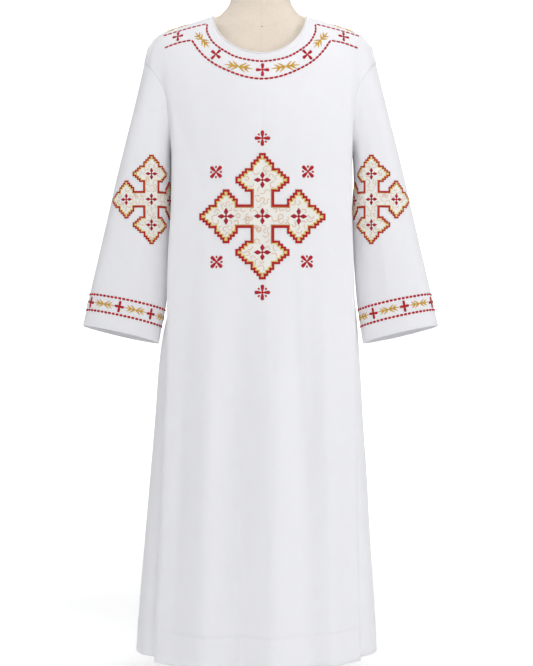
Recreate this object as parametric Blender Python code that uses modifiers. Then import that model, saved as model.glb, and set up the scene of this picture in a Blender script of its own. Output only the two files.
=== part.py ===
"""An ankle-length tunic with wide sleeves, standing on a limbless dress form.

Metres, +Z up, the front of the tunic towards -Y. "left" is the side at -X. The origin is on the floor, at
the middle of the base. Every cloth piece is a wall with a free edge or a seam all round it.
"""
import math
from collections import namedtuple
from functools import lru_cache, partial
from types import SimpleNamespace

import bmesh
import bpy
import numpy as np
from mathutils import Vector

LEFT = -1
RIGHT = 1
SIDE_NAMES = {LEFT: "left", RIGHT: "right"}

# Cloth
CLOTH = 0.0020           # wall of the cloth
TURNED_EDGE = 0.0030     # wall of the hem and of the cuffs, where the cloth is turned up
SEAM_PULL = 0.0002       # how far each piece stops short of its seam line
FOLD_RADIUS = 0.012      # rounding of the fold that edges the front and the back

# Heights
HEM_Z = 0.077
HEM_DEPTH = 0.070        # height of the turned hem
UNDERARM_Z = 1.150

# Neck and shoulders
NECK_HALF_WIDTH = 0.0997
NECK_POINT_Z = 1.446
SHOULDER_TURN_X = 0.2105     # where the shoulder seam starts to turn down
SHOULDER_CORNER_X = 0.243    # control point of that turn
SHOULDER_CORNER_Z = 1.393
SHOULDER_LEAN = -0.0045      # both shoulders hang this far to the left
LEAN_HEIGHT = 0.25           # the lean grows over this height above the underarm

# How the rows of the front and back spread, as powers of the share of the way down to the underarm
CORNER_DROP = 1.5            # the edge fold's corner, down
CORNER_IN = 2.5              # the same, inwards
FACE_DROP = 2.0              # the face, down
FACE_IN = 1.5                # the same, inwards
NECK_DROP = 0.8              # less than FACE_DROP by this at the middle of the neckline
NECK_EVEN = 0.12             # share of even spacing in the neckline's columns, closest at its ends

# Steps of the grids
UPPER_ROWS = 10          # shoulder to underarm
LOWER_ROWS = 14          # underarm to hem
EDGE_STEPS = 5           # seam to face, round the edge fold
SHOULDER_STEPS = 4       # edge fold to neck point
GORE_STEPS = 6
SLEEVE_ROWS = 14

FACE_POWER = 2.4         # roundness of the front and back, seen from above


class Table:
    """Rows of named columns, read at any place by a smooth curve through the rows."""

    def __init__(self, columns, *rows):
        self.columns = columns.split()
        self.rows = np.array(sorted(rows), dtype=float)
        self.slopes = np.gradient(self.rows, self.rows[:, 0], axis=0)

    def at(self, place):
        keys = self.rows[:, 0]
        place = min(max(place, keys[0]), keys[-1])
        low = min(int(np.searchsorted(keys, place, side="right")) - 1, len(keys) - 2)
        span = keys[low + 1] - keys[low]
        t = (place - keys[low]) / span
        start = (1 + 2 * t) * (1 - t) ** 2 * self.rows[low] + t * (1 - t) ** 2 * span * self.slopes[low]
        end = t * t * (3 - 2 * t) * self.rows[low + 1] - t * t * (1 - t) * span * self.slopes[low + 1]
        return SimpleNamespace(**dict(zip(self.columns, start + end)))


# Sections of the body at height z. Half widths x and depths y of the fold that edges the front and back,
# of the seams of the gore and of the side. lean shifts a width to one side, skew turns the edge folds.
BODY = Table(
    "z      front  back   fold_x  fold_lean fold_y rear_fold_y seam_x seam_y rear_seam_y side_x side_lean"
    " side_y skew",
    (1.150, 0.128, 0.120, 0.1895, 0.0000, 0.080, 0.074, 0.1940, 0.016, 0.016, 0.1940, 0.0000, 0.000, 0.000),
    (1.044, 0.130, 0.122, 0.1908, -0.0008, 0.082, 0.076, 0.1885, 0.032, 0.030, 0.1890, 0.0030, 0.000, 0.001),
    (0.900, 0.138, 0.130, 0.1983, -0.0022, 0.086, 0.087, 0.1885, 0.048, 0.048, 0.1905, 0.0050, 0.004, 0.003),
    (0.733, 0.151, 0.144, 0.2017, -0.0008, 0.090, 0.100, 0.1860, 0.056, 0.062, 0.2137, -0.0043, 0.012, 0.005),
    (0.578, 0.161, 0.153, 0.2052, -0.0022, 0.092, 0.107, 0.1900, 0.056, 0.068, 0.2250, -0.0065, 0.020, 0.007),
    (0.449, 0.168, 0.160, 0.2085, -0.0040, 0.090, 0.111, 0.1940, 0.054, 0.072, 0.2354, -0.0076, 0.028, 0.008),
    (0.320, 0.174, 0.166, 0.2122, -0.0058, 0.087, 0.115, 0.1990, 0.050, 0.075, 0.2447, -0.0099, 0.036, 0.009),
    (0.191, 0.180, 0.171, 0.2170, -0.0075, 0.084, 0.119, 0.2030, 0.046, 0.077, 0.2550, -0.0110, 0.044, 0.010),
    (0.077, 0.184, 0.174, 0.2200, -0.0085, 0.082, 0.122, 0.2070, 0.042, 0.078, 0.2615, -0.0120, 0.050, 0.010),
)

# The ridge of the shoulders, where front and back meet, from the middle outwards.
RIDGE = Table(
    "x       z",
    (0.0000, 1.471),
    (0.0500, 1.4600),
    (0.0997, 1.4460),
    (0.1680, 1.4240),
    (0.2105, 1.4085),
    (0.2300, 1.3960),
    (0.2420, 1.3750),
    (0.2490, 1.3450),
)

# The armhole, from the shoulder down to the underarm: out, away from the ridge, and up.
ARMHOLE = Table(
    "way    x      y      z",
    (0.00, 0.249, 0.000, 1.345),
    (0.17, 0.234, 0.028, 1.327),
    (0.33, 0.218, 0.041, 1.306),
    (0.50, 0.205, 0.046, 1.278),
    (0.70, 0.199, 0.046, 1.235),
    (0.87, 0.195, 0.034, 1.182),
    (1.00, 0.194, 0.016, 1.150),
)

# Sections of the sleeve from armhole to cuff: its outer and inner edge, seen from the front, and its depth.
SLEEVE = Table(
    "way  outer_x outer_z inner_x inner_z half_depth middle_y tilt",
    (0.0, 0.2490, 1.345, 0.1940, 1.150, 0.046, 0.000, 0.000),
    (0.1, 0.2618, 1.290, 0.2020, 1.128, 0.053, -0.001, 0.000),
    (0.2, 0.2750, 1.235, 0.2045, 1.095, 0.059, -0.002, 0.000),
    (0.3, 0.2885, 1.179, 0.2025, 1.058, 0.062, -0.003, 0.000),
    (0.4, 0.3025, 1.122, 0.2015, 1.018, 0.062, -0.005, 0.000),
    (0.5, 0.3160, 1.064, 0.2020, 0.977, 0.060, -0.007, 0.010),
    (0.6, 0.3290, 1.006, 0.2035, 0.934, 0.058, -0.009, 0.030),
    (0.7, 0.3420, 0.949, 0.2060, 0.889, 0.055, -0.011, 0.060),
    (0.8, 0.3550, 0.892, 0.2095, 0.841, 0.052, -0.013, 0.090),
    (0.9, 0.3680, 0.836, 0.2145, 0.793, 0.049, -0.014, 0.115),
    (1.0, 0.3805, 0.780, 0.2205, 0.743, 0.046, -0.015, 0.130),
)
SLEEVE_LEAN = -0.0030
SLEEVE_LEAN_REACH = 0.5  # share of the sleeve over which its inner side takes up the lean
ARMHOLE_REACH = 0.30     # share of the sleeve over which the armhole's shape fades out
GORE_ANGLE = 36          # how much of the sleeve's round the gore's top takes, in degrees
HALF_RING = UPPER_ROWS + GORE_STEPS // 2     # grid steps from the shoulder to the underarm

# Folds of the body: their place at the chest and at the hem, how far they stand out, and their half width.
Fold = namedtuple("Fold", "top_x hem_x height width")
FRONT_FOLDS = (
    Fold(-0.150, -0.186, -0.007, 0.022),
    Fold(-0.103, -0.126, 0.014, 0.027),
    Fold(-0.040, -0.042, -0.015, 0.028),
    Fold(0.024, 0.022, 0.014, 0.027),
    Fold(0.074, 0.096, -0.012, 0.026),
    Fold(0.130, 0.152, 0.009, 0.022),
)
BACK_FOLDS = (
    Fold(-0.140, -0.165, 0.009, 0.024),
    Fold(-0.085, -0.100, -0.010, 0.026),
    Fold(-0.020, -0.015, 0.012, 0.030),
    Fold(0.045, 0.060, -0.012, 0.026),
    Fold(0.115, 0.135, 0.010, 0.028),
)
FOLDS_START_Z = 1.00
FOLDS_FULL_Z = 0.50

# Long soft folds of the sleeves: angle round the sleeve from its outer edge, and the stretch they run on.
SleeveFold = namedtuple("SleeveFold", "angle start end height width")
FOLD_FADE = 0.15
SLEEVE_FOLDS = (
    SleeveFold(82, 0.02, 0.55, -0.004, 22),
    SleeveFold(40, 0.10, 0.95, 0.003, 22),
    SleeveFold(150, 0.45, 1.00, -0.003, 22),
    SleeveFold(250, 0.05, 0.80, -0.005, 22),
    SleeveFold(300, 0.05, 0.95, 0.004, 22),
)

# The front and the back differ in these.
Panel = namedtuple("Panel", "name way middle edge seam skew rise folds neck_drop neck_steps")
FRONT = Panel("front_panel", -1, "front", "fold_y", "seam_y", 1, 0.36, FRONT_FOLDS, 0.0965, 16)
BACK = Panel("back_panel", 1, "back", "rear_fold_y", "rear_seam_y", 0, 0.24, BACK_FOLDS, 0.016, 8)

# The applique crosses, in units of one step: square lobes with stepped pyramids on three sides.
CROSS_LOBE = 12.25           # middle of a lobe from the middle of the cross
CROSS_STEPS = ((4.0, 6.0), (3.0, 7.0), (2.0, 8.0), (1.2, 9.15))    # half width and reach of each step
CROSS_BAR = 4.0              # half width of the bars
CROSS_THICK = 0.0012
CHEST_UNIT = 0.00612
CHEST_CENTRE_X = 0.0012
CHEST_CENTRE_Z = 1.006
CHEST_COLUMN = 4.0           # steps between the cuts that let the cross bend
CHEST_LIFT = 0.0006          # clear of the cloth below
SLEEVE_UNIT = 0.00441
SLEEVE_CROSS_X = 0.234
SLEEVE_CROSS_Z = 1.047
SLEEVE_COLUMN = 2.5
SLEEVE_LIFT = 0.0010
SURFACE_STEP = 0.01          # of a surface's two places, to find which way it faces

# The dress form. Sections of its torso: half width, squareness and depth as a share of the cloth's.
FORM_GAP = 0.0011            # under the cloth at the shoulders, where the tunic hangs
FORM = Table(
    "z      half_width power front back",
    (0.760, 0.165, 2.2, 0.108, 0.106),
    (0.850, 0.169, 2.3, 0.112, 0.108),
    (0.930, 0.158, 2.3, 0.108, 0.100),
    (1.030, 0.139, 2.3, 0.104, 0.092),
    (1.130, 0.158, 2.5, 0.112, 0.104),
    (1.200, 0.170, 3.0, 0.114, 0.106),
    (1.280, 0.182, 4.5, 0.115, 0.107),
    (1.340, 0.188, 7.0, 0.112, 0.104),
    (1.380, 0.193, 10.0, 0.101, 0.097),
    (1.480, 0.195, 12.0, 0.076, 0.086),
)
NECK = Table(
    "z      half_width depth",
    (1.380, 0.120, 0.060),
    (1.420, 0.112, 0.060),
    (1.437, 0.094, 0.058),
    (1.446, 0.086, 0.058),
    (1.456, 0.077, 0.058),
    (1.468, 0.068, 0.059),
    (1.482, 0.0637, 0.058),
    (1.520, 0.0630, 0.058),
)
NECK_Y = -0.004
NECK_FOOT_Z = 1.38
FORM_HEIGHTS = (0.760, 0.80, 0.85, 0.90, 0.96, 1.03, 1.10, 1.16, 1.22, 1.28, 1.33, 1.365, 1.388, 1.400,
                1.411, 1.421, 1.430, 1.438, 1.446, 1.456, 1.468, 1.482, 1.500, 1.520)
FORM_SIDES = 36
CAP_SECTIONS = ((0.0, 1.03), (0.008, 1.03), (0.014, 0.94), (0.017, 0.70))    # height and share of the neck
FIT = 0.0003                 # between pieces that touch
POLE_RADIUS = 0.016
BASE_RADIUS = 0.175
BASE_THICK = 0.008
BASE_BEVEL = 0.003
COLLAR_RADIUS = 0.032
COLLAR_TOP_RADIUS = 0.024
COLLAR_HEIGHT = 0.030
ROUND_STEPS = 40
SHARP_ANGLE = math.radians(40)
HALVINGS = 24                # of a stretch, to find where a surface is

COLOURS = {
    "cloth": ((0.86, 0.86, 0.89), 0.85, 0.0),
    "thread": ((0.72, 0.42, 0.30), 0.60, 0.0),
    "form_cloth": ((0.80, 0.70, 0.60), 0.80, 0.0),
    "form_wood": ((0.35, 0.22, 0.13), 0.45, 0.0),
    "steel": ((0.62, 0.62, 0.63), 0.30, 1.0),
}


def clamp(value):
    return min(max(value, 0.0), 1.0)


def smoothstep(value):
    value = clamp(value)
    return value * value * (3 - 2 * value)


def mix(start, end, share):
    return start + (end - start) * share


def point(x, y, z):
    return np.array((x, y, z), dtype=float)


def bezier(start, control, end, t):
    return (1 - t) ** 2 * start + 2 * t * (1 - t) * control + t * t * end


def leaned(place):
    """Shift a point of the shoulders sideways, more the higher and the further out it is."""
    x, y, z = place
    share = smoothstep((z - UNDERARM_Z) / LEAN_HEIGHT) * smoothstep(abs(x) / NECK_HALF_WIDTH)
    return point(x + SHOULDER_LEAN * share, y, z)


def fold_height(folds, x, z):
    """How far the body's folds stand out at a place."""
    fade = smoothstep((FOLDS_START_Z - z) / (FOLDS_START_Z - FOLDS_FULL_Z))
    down = clamp((FOLDS_START_Z - z) / (FOLDS_START_Z - HEM_Z))
    total = 0.0
    for fold in folds:
        off = (x - mix(fold.top_x, fold.hem_x, down)) / fold.width
        total += fold.height * math.exp(-off * off)
    return total * fade


def shoulder_round(panel, x, z):
    """0 on the ridge of the shoulders, rising to 1 where the chest or back is full."""
    below = clamp((RIDGE.at(abs(x)).z - z) / panel.rise)
    return math.sqrt(1 - (1 - below) ** 2)


def face_y(panel, x, z):
    """Depth of the front's or the back's face."""
    row = BODY.at(z)
    across = (x - row.fold_lean) / row.fold_x
    edge = getattr(row, panel.edge)
    middle = getattr(row, panel.middle)
    depth = edge + (middle - edge) * (1 - abs(across) ** FACE_POWER)
    depth += fold_height(panel.folds, x, z) - panel.skew * row.skew * across
    return panel.way * depth * shoulder_round(panel, x, z)


def on_face(panel, x, z):
    return point(x, face_y(panel, x, z), z)


def armhole_point(panel, side, share):
    row = ARMHOLE.at(share)
    return point(side * row.x, panel.way * row.y, row.z)


def turned_edge(seam, corner, face, sharp):
    """Points from a side seam round the edge fold onto the face; sharp runs from a soft turn to a fold."""
    steps = range(EDGE_STEPS + 1)
    soft = [bezier(seam, corner, face, step / EDGE_STEPS) for step in steps]
    leg = seam - corner
    near = corner + leg * min(0.5, FOLD_RADIUS / np.linalg.norm(leg))
    crisp = [seam, (seam + near) / 2]
    crisp += [bezier(near, corner, face, step / (EDGE_STEPS - 2)) for step in range(EDGE_STEPS - 1)]
    return [mix(a, b, sharp) for a, b in zip(soft, crisp)]


def edge_at_height(panel, side, z):
    """The turned edge of a panel below the underarm."""
    row = BODY.at(z)
    fold_x = side * row.fold_x + row.fold_lean
    face_x = fold_x - side * FOLD_RADIUS
    seam = point(side * row.seam_x + row.fold_lean, panel.way * getattr(row, panel.seam), z)
    return turned_edge(seam, on_face(panel, fold_x, z), on_face(panel, face_x, z), 1.0)


def edge_at_armhole(panel, side, share):
    """The turned edge of a panel above the underarm, from the armhole onto the face."""
    row = BODY.at(UNDERARM_Z)
    drop = share ** CORNER_DROP
    corner_x = mix(row.fold_x, SHOULDER_CORNER_X, (1 - drop) ** CORNER_IN)
    corner_z = mix(SHOULDER_CORNER_Z, UNDERARM_Z, drop)
    drop = share ** FACE_DROP
    face_x = mix(row.fold_x - FOLD_RADIUS, SHOULDER_TURN_X, (1 - drop) ** FACE_IN)
    face_z = mix(RIDGE.at(SHOULDER_TURN_X).z, UNDERARM_Z, drop)
    corner = on_face(panel, side * corner_x, corner_z)
    face = on_face(panel, side * face_x, face_z)
    return turned_edge(armhole_point(panel, side, share), corner, face, smoothstep(share))


def top_line(panel):
    """The top edge of a panel's face: shoulder, neckline, shoulder, as x, z and how fast rows fall."""
    places = []
    for step in range(SHOULDER_STEPS):
        x = mix(SHOULDER_TURN_X, NECK_HALF_WIDTH, step / SHOULDER_STEPS)
        places.append((-x, RIDGE.at(x).z, FACE_DROP))
    for step in range(panel.neck_steps + 1):
        share = step / panel.neck_steps
        turn = math.pi * mix(smoothstep(share), share, NECK_EVEN)
        x = -NECK_HALF_WIDTH * math.cos(turn)
        drop = math.sin(turn)
        places.append((x, NECK_POINT_Z - panel.neck_drop * drop, FACE_DROP - NECK_DROP * drop))
    right = [(-x, z, fall) for x, z, fall in reversed(places[:SHOULDER_STEPS])]
    return places + right


def panel_grid(panel):
    """Outer points of the front or the back, a row at a time from the shoulders to the hem."""
    tops = top_line(panel)
    count = len(tops)
    rows = []
    for step in range(UPPER_ROWS + 1):
        share = step / UPPER_ROWS
        left = edge_at_armhole(panel, LEFT, share)
        right = edge_at_armhole(panel, RIGHT, share)
        base = BODY.at(UNDERARM_Z).fold_x - FOLD_RADIUS
        face = []
        for i in range(1, count - 1):
            top_x, top_z, fall = tops[i]
            drop = share ** fall
            x = mix(mix(-base, base, i / (count - 1)), top_x, (1 - drop) ** FACE_IN)
            face.append(on_face(panel, x, mix(top_z, UNDERARM_Z, drop)))
        rows.append([leaned(place) for place in left + face + right[::-1]])
    for step in range(1, LOWER_ROWS + 1):
        z = mix(UNDERARM_Z, HEM_Z, step / LOWER_ROWS)
        left = edge_at_height(panel, LEFT, z)
        right = edge_at_height(panel, RIGHT, z)
        face = []
        for i in range(1, count - 1):
            face.append(on_face(panel, mix(left[-1][0], right[-1][0], i / (count - 1)), z))
        rows.append(left + face + right[::-1])
    return np.array(rows)


def gore_row(side, z):
    """A gore's section, from the front seam round the side to the back seam."""
    row = BODY.at(z)
    seam_x = side * row.seam_x + row.fold_lean
    side_x = side * row.side_x + row.side_lean
    places = []
    for step in range(GORE_STEPS + 1):
        turn = math.pi * step / GORE_STEPS
        seam_y = -row.seam_y if step <= GORE_STEPS / 2 else row.rear_seam_y
        x = mix(seam_x, side_x, math.sin(turn))
        y = mix(row.side_y, seam_y, abs(math.cos(turn)))
        places.append(point(x, y, z))
    return places


def gore_grid(side):
    heights = [mix(UNDERARM_Z, HEM_Z, step / LOWER_ROWS) for step in range(LOWER_ROWS + 1)]
    return np.array([gore_row(side, z) for z in heights])


def ring_point(side, across):
    """The armhole, in grid steps from the shoulder: positive over the front, negative over the back."""
    panel = FRONT if across >= 0 else BACK
    steps = abs(across)
    if steps <= UPPER_ROWS:
        return leaned(armhole_point(panel, side, steps / UPPER_ROWS))
    row = BODY.at(UNDERARM_Z)
    turn = math.pi * (steps - UPPER_ROWS) / GORE_STEPS
    x = mix(row.seam_x, row.side_x, math.sin(turn))
    return point(side * x, mix(row.side_y, panel.way * getattr(row, panel.seam), math.cos(turn)), UNDERARM_Z)


def sleeve_point(side, degrees, way):
    """The sleeve's surface away from the armhole; degrees run from its outer edge over the front."""
    row = SLEEVE.at(way)
    turn = math.radians(degrees)
    swell = 1.0
    for fold in SLEEVE_FOLDS:
        off = ((degrees - fold.angle + 180) % 360 - 180) / fold.width
        run = smoothstep((way - fold.start) / FOLD_FADE) * smoothstep((fold.end - way) / FOLD_FADE)
        swell += fold.height / row.half_depth * math.exp(-off * off) * run
    out = swell * math.cos(turn)
    deep = swell * row.half_depth * math.sin(turn)
    x = (row.outer_x + row.inner_x) / 2 + out * (row.outer_x - row.inner_x) / 2
    z = (row.outer_z + row.inner_z) / 2 + out * (row.outer_z - row.inner_z) / 2
    lean = SLEEVE_LEAN * mix((1 + math.cos(turn)) / 2, 1, smoothstep(way / SLEEVE_LEAN_REACH))
    return point(side * x + lean, row.middle_y - deep, z + row.tilt * deep)


def sleeve_surface(side, across, way):
    """The whole sleeve's surface, its armhole fading into round sections further down."""
    if across > HALF_RING:
        across -= 2 * HALF_RING
    even = smoothstep(way / ARMHOLE_REACH)
    from_underarm = HALF_RING - abs(across)
    if from_underarm < GORE_STEPS / 2:
        crowded = 180 - GORE_ANGLE * from_underarm / GORE_STEPS
    else:
        crowded = (180 - GORE_ANGLE / 2) * abs(across) / UPPER_ROWS
    degrees = mix(math.copysign(crowded, across), 180 * across / HALF_RING, even)
    return mix(ring_point(side, across), sleeve_point(side, degrees, way), even)


def sleeve_grid(side):
    """Outer points of a sleeve, a ring at a time from the armhole to the cuff."""
    ways = [row / SLEEVE_ROWS for row in range(SLEEVE_ROWS + 1)]
    return np.array([[sleeve_surface(side, step, way) for step in range(2 * HALF_RING)] for way in ways])


def grid_faces(rows, columns, ring):
    """Quads over a grid of points; a ring's last column joins its first."""
    steps = columns if ring else columns - 1
    faces = []
    for row in range(rows - 1):
        for column in range(steps):
            after = (column + 1) % columns
            a = row * columns
            faces.append((a + column, a + after, a + columns + after, a + columns + column))
    return faces


def seam_key(place):
    return tuple(int(round(value * 1e6)) for value in place)


def grid_normals(grid, ring):
    """Unit normals at the points of one grid."""
    flat = grid.reshape(-1, 3)
    normals = np.zeros_like(flat)
    for face in grid_faces(grid.shape[0], grid.shape[1], ring):
        a, b, c, d = (flat[i] for i in face)
        normals[list(face)] += np.cross(c - a, d - b)
    return normals / np.linalg.norm(normals, axis=1)[:, None]


def joined_normals(grids):
    """Normals halfway between those of all the pieces that share a point, so that walls meet at a mitre."""
    own = {name: grid_normals(grid, ring) for name, (grid, ring) in grids.items()}
    shared = {}
    for name, (grid, _) in grids.items():
        for place, normal in zip(grid.reshape(-1, 3), own[name]):
            key = seam_key(place)
            shared[key] = shared.get(key, 0) + normal
    joined = {}
    for name, (grid, _) in grids.items():
        normals = np.array([shared[seam_key(place)] for place in grid.reshape(-1, 3)])
        normals /= np.linalg.norm(normals, axis=1)[:, None]
        joined[name] = normals.reshape(grid.shape)
    return joined


def inward_ways(grid, ring):
    """For each point on a piece's border, the way to the points next inside; zero elsewhere."""
    ways = np.zeros_like(grid)
    borders = [(ways[0], grid[0], grid[1]), (ways[-1], grid[-1], grid[-2])]
    if not ring:
        borders += [(ways[:, 0], grid[:, 0], grid[:, 1]), (ways[:, -1], grid[:, -1], grid[:, -2])]
    for target, edge, inside in borders:
        way = inside - edge
        target += way / np.linalg.norm(way, axis=1)[:, None]
    return ways


def seam_pulls(grids):
    """How far each border point moves so that pieces part at their seams, also where cloth folds back."""
    ways = {name: inward_ways(grid, ring).reshape(-1, 3) for name, (grid, ring) in grids.items()}
    shared = {}
    for name, (grid, _) in grids.items():
        for place, way in zip(grid.reshape(-1, 3), ways[name]):
            if way.any():
                shared.setdefault(seam_key(place), []).append(way)
    pulls = {}
    for name, (grid, _) in grids.items():
        moves = np.zeros_like(ways[name])
        for i, (place, way) in enumerate(zip(grid.reshape(-1, 3), ways[name])):
            if way.any():
                meeting = shared[seam_key(place)]
                others = (sum(meeting) - way) / max(len(meeting) - 1, 1)
                apart = way / np.linalg.norm(way) - others
                moves[i] = apart / np.linalg.norm(apart) * SEAM_PULL
        pulls[name] = moves.reshape(grid.shape)
    return pulls


def wall_mesh(name, grid, outer, inner, ring):
    """A closed wall between two grids of points; its border faces split as its neighbours' do."""
    rows, columns = outer.shape[:2]
    size = rows * columns
    keys = [seam_key(place) for place in grid.reshape(-1, 3)]
    places = np.concatenate((outer.reshape(-1, 3), inner.reshape(-1, 3)))
    faces = grid_faces(rows, columns, ring)
    faces += [tuple(i + size for i in reversed(face)) for face in faces]
    border = [[row * columns + column for column in range(columns)] for row in (0, rows - 1)]
    if ring:
        border = [line + line[:1] for line in border]
    else:
        border += [[row * columns + column for row in range(rows)] for column in (0, columns - 1)]
    for line in border:
        for a, b in zip(line, line[1:]):
            if keys[a] > keys[b]:
                a, b = b, a
            faces += [(a, b, b + size), (a, b + size, a + size)]
    mesh = bpy.data.meshes.new(name)
    mesh.from_pydata([tuple(place) for place in places], [], faces)
    return closed_mesh(mesh)


def closed_mesh(mesh):
    """Turn every face outwards and shade the mesh smooth but for its folds."""
    bm = bmesh.new()
    bm.from_mesh(mesh)
    bmesh.ops.recalc_face_normals(bm, faces=bm.faces)
    bm.to_mesh(mesh)
    bm.free()
    mesh.shade_smooth()
    mesh.set_sharp_from_angle(angle=SHARP_ANGLE)
    return mesh


def wall_thickness(grid, ring):
    """Thicker where the hem or the cuff is turned up."""
    thick = np.full(grid.shape[:2], CLOTH)
    if ring:
        thick[-1] = TURNED_EDGE
    else:
        thick[grid[:, :, 2] < HEM_Z + HEM_DEPTH] = TURNED_EDGE
    return thick[:, :, None]


def material(name):
    found = bpy.data.materials.get(name)
    if found:
        return found
    colour, roughness, metallic = COLOURS[name]
    made = bpy.data.materials.new(name)
    made.use_nodes = True
    shader = made.node_tree.nodes["Principled BSDF"]
    shader.inputs["Base Color"].default_value = (*colour, 1)
    shader.inputs["Roughness"].default_value = roughness
    shader.inputs["Metallic"].default_value = metallic
    made.diffuse_color = (*colour, 1)
    return made


def add_object(collection, name, mesh, material_name):
    made = bpy.data.objects.new(name, mesh)
    mesh.materials.append(material(material_name))
    collection.objects.link(made)
    return made


def add_cloth(collection):
    """The tunic's cut pieces, as walls that meet along their seams."""
    grids = {panel.name: (panel_grid(panel), False) for panel in (FRONT, BACK)}
    for side, word in SIDE_NAMES.items():
        grids["gore_" + word] = (gore_grid(side), False)
        grids["sleeve_" + word] = (sleeve_grid(side), True)
    for name, (grid, ring) in grids.items():
        if outward_sign(name, grid) < 0:
            grids[name] = (grid[:, ::-1].copy(), ring)
    normals = joined_normals(grids)
    pulls = seam_pulls(grids)
    for name, (grid, ring) in grids.items():
        outer = grid + pulls[name]
        inner = outer - normals[name] * wall_thickness(grid, ring)
        add_object(collection, name, wall_mesh(name, grid, outer, inner, ring), "cloth")


def outward_sign(name, grid):
    """1 where the grid's order turns its faces away from the garment's inside."""
    row = grid.shape[0] // 2
    column = grid.shape[1] // 4
    a, b, c = grid[row, column], grid[row, column + 1], grid[row + 1, column + 1]
    away = a - grid[row].mean(axis=0) if "sleeve" in name else a - point(0, 0, a[2])
    return np.sign(np.dot(np.cross(b - a, c - a), away))


def pyramid():
    """A stepped pyramid on a lobe's side, from base to base: along the side, and out from the lobe."""
    rise = []
    start = CROSS_BAR
    for half, reach in CROSS_STEPS:
        rise += [(-half, start), (-half, reach)]
        start = reach
    return rise + [(-along, out) for along, out in reversed(rise)]


def cross_outline():
    """The stepped outline of a cross, in steps, once round."""
    arm = [(-CROSS_BAR, CROSS_BAR)]
    arm += [(-out, CROSS_LOBE + along) for along, out in pyramid()]
    arm += [(along, CROSS_LOBE + out) for along, out in pyramid()[1:]]
    arm += [(out, CROSS_LOBE - along) for along, out in pyramid()[1:]]
    outline = []
    for _ in range(4):
        outline += arm
        arm = [(y, -x) for x, y in arm]
    return outline


def lifted(surface, u, v, away, lift):
    """A point just clear of a surface, on the side that faces away."""
    step = SURFACE_STEP
    place = surface(u, v)
    normal = np.cross(surface(u + step, v) - place, surface(u, v + step) - place)
    normal *= np.sign(np.dot(normal, away)) / np.linalg.norm(normal)
    return place + normal * lift


def on_chest(across, up):
    """A point of the chest cross's underside; across and up run from its middle."""
    x = CHEST_CENTRE_X + across
    z = CHEST_CENTRE_Z + up
    return lifted(lambda u, v: on_face(FRONT, u, v), x, z, point(0, -1, 0), CHEST_LIFT)


@lru_cache(maxsize=None)
def sleeve_level(side, z):
    """A sleeve's round at one height: places across and down the sleeve, and lengths along the cloth."""
    places = []
    for step in range(-6, 2 * HALF_RING + 12):
        across = step / 2
        high, low = 0.0, 1.0
        for _ in range(HALVINGS):
            way = (high + low) / 2
            if sleeve_surface(side, across, way)[2] > z:
                high = way
            else:
                low = way
        places.append((across, way, *sleeve_surface(side, across, way)))
    places = np.array(places)
    lengths = np.concatenate(((0,), np.cumsum(np.linalg.norm(np.diff(places[:, 2:], axis=0), axis=1))))
    front = (places[:, 0] >= 0) & (places[:, 0] <= HALF_RING)
    out = -side * places[front, 2]
    middle = np.interp(-SLEEVE_CROSS_X - side * SLEEVE_LEAN, out, lengths[front])
    return places, lengths - middle


def on_sleeve(side, across, up):
    """A point of a sleeve cross's underside, wrapped round the sleeve; across and up run from its middle."""
    places, lengths = sleeve_level(side, round(SLEEVE_CROSS_Z + up, 5))
    step = float(np.interp(-side * across, lengths, places[:, 0]))
    way = float(np.interp(-side * across, lengths, places[:, 1]))
    row = SLEEVE.at(way)
    middle = point(side * (row.outer_x + row.inner_x) / 2, row.middle_y, (row.outer_z + row.inner_z) / 2)
    away = sleeve_surface(side, step, way) - middle
    return lifted(lambda u, v: sleeve_surface(side, u, v), step, way, away, SLEEVE_LIFT)


def add_cross(collection, name, unit, column, mapping):
    """An applique cross: the flat outline, cut into columns, laid on its panel and given a thickness."""
    bm = bmesh.new()
    bm.faces.new([bm.verts.new((x, y, 0)) for x, y in cross_outline()])
    reach = CROSS_LOBE + CROSS_STEPS[-1][1]
    cuts = [((x, 0, 0), (1, 0, 0)) for x in np.arange(-reach + column, reach, column)]
    cuts += [((0, y, 0), (0, 1, 0)) for y in (-CROSS_LOBE, -CROSS_BAR, CROSS_BAR, CROSS_LOBE)]
    for place, normal in cuts:
        parts = bm.verts[:] + bm.edges[:] + bm.faces[:]
        bmesh.ops.bisect_plane(bm, geom=parts, dist=1e-5, plane_co=place, plane_no=normal)
    bmesh.ops.triangulate(bm, faces=bm.faces)
    for vert in bm.verts:
        vert.co = Vector(mapping(vert.co.x * unit, vert.co.y * unit))
    bm.normal_update()
    if sum(face.normal.y * face.calc_area() for face in bm.faces) > 0:
        bmesh.ops.reverse_faces(bm, faces=bm.faces)
    mesh = bpy.data.meshes.new(name)
    bm.to_mesh(mesh)
    bm.free()
    made = add_object(collection, name, mesh, "thread")
    wall = made.modifiers.new("thickness", "SOLIDIFY")
    wall.thickness = CROSS_THICK
    wall.offset = 1
    return made


def add_crosses(collection):
    add_cross(collection, "chest_cross", CHEST_UNIT, CHEST_COLUMN, on_chest)
    for side, word in SIDE_NAMES.items():
        add_cross(collection, "sleeve_cross_" + word, SLEEVE_UNIT, SLEEVE_COLUMN, partial(on_sleeve, side))


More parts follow.
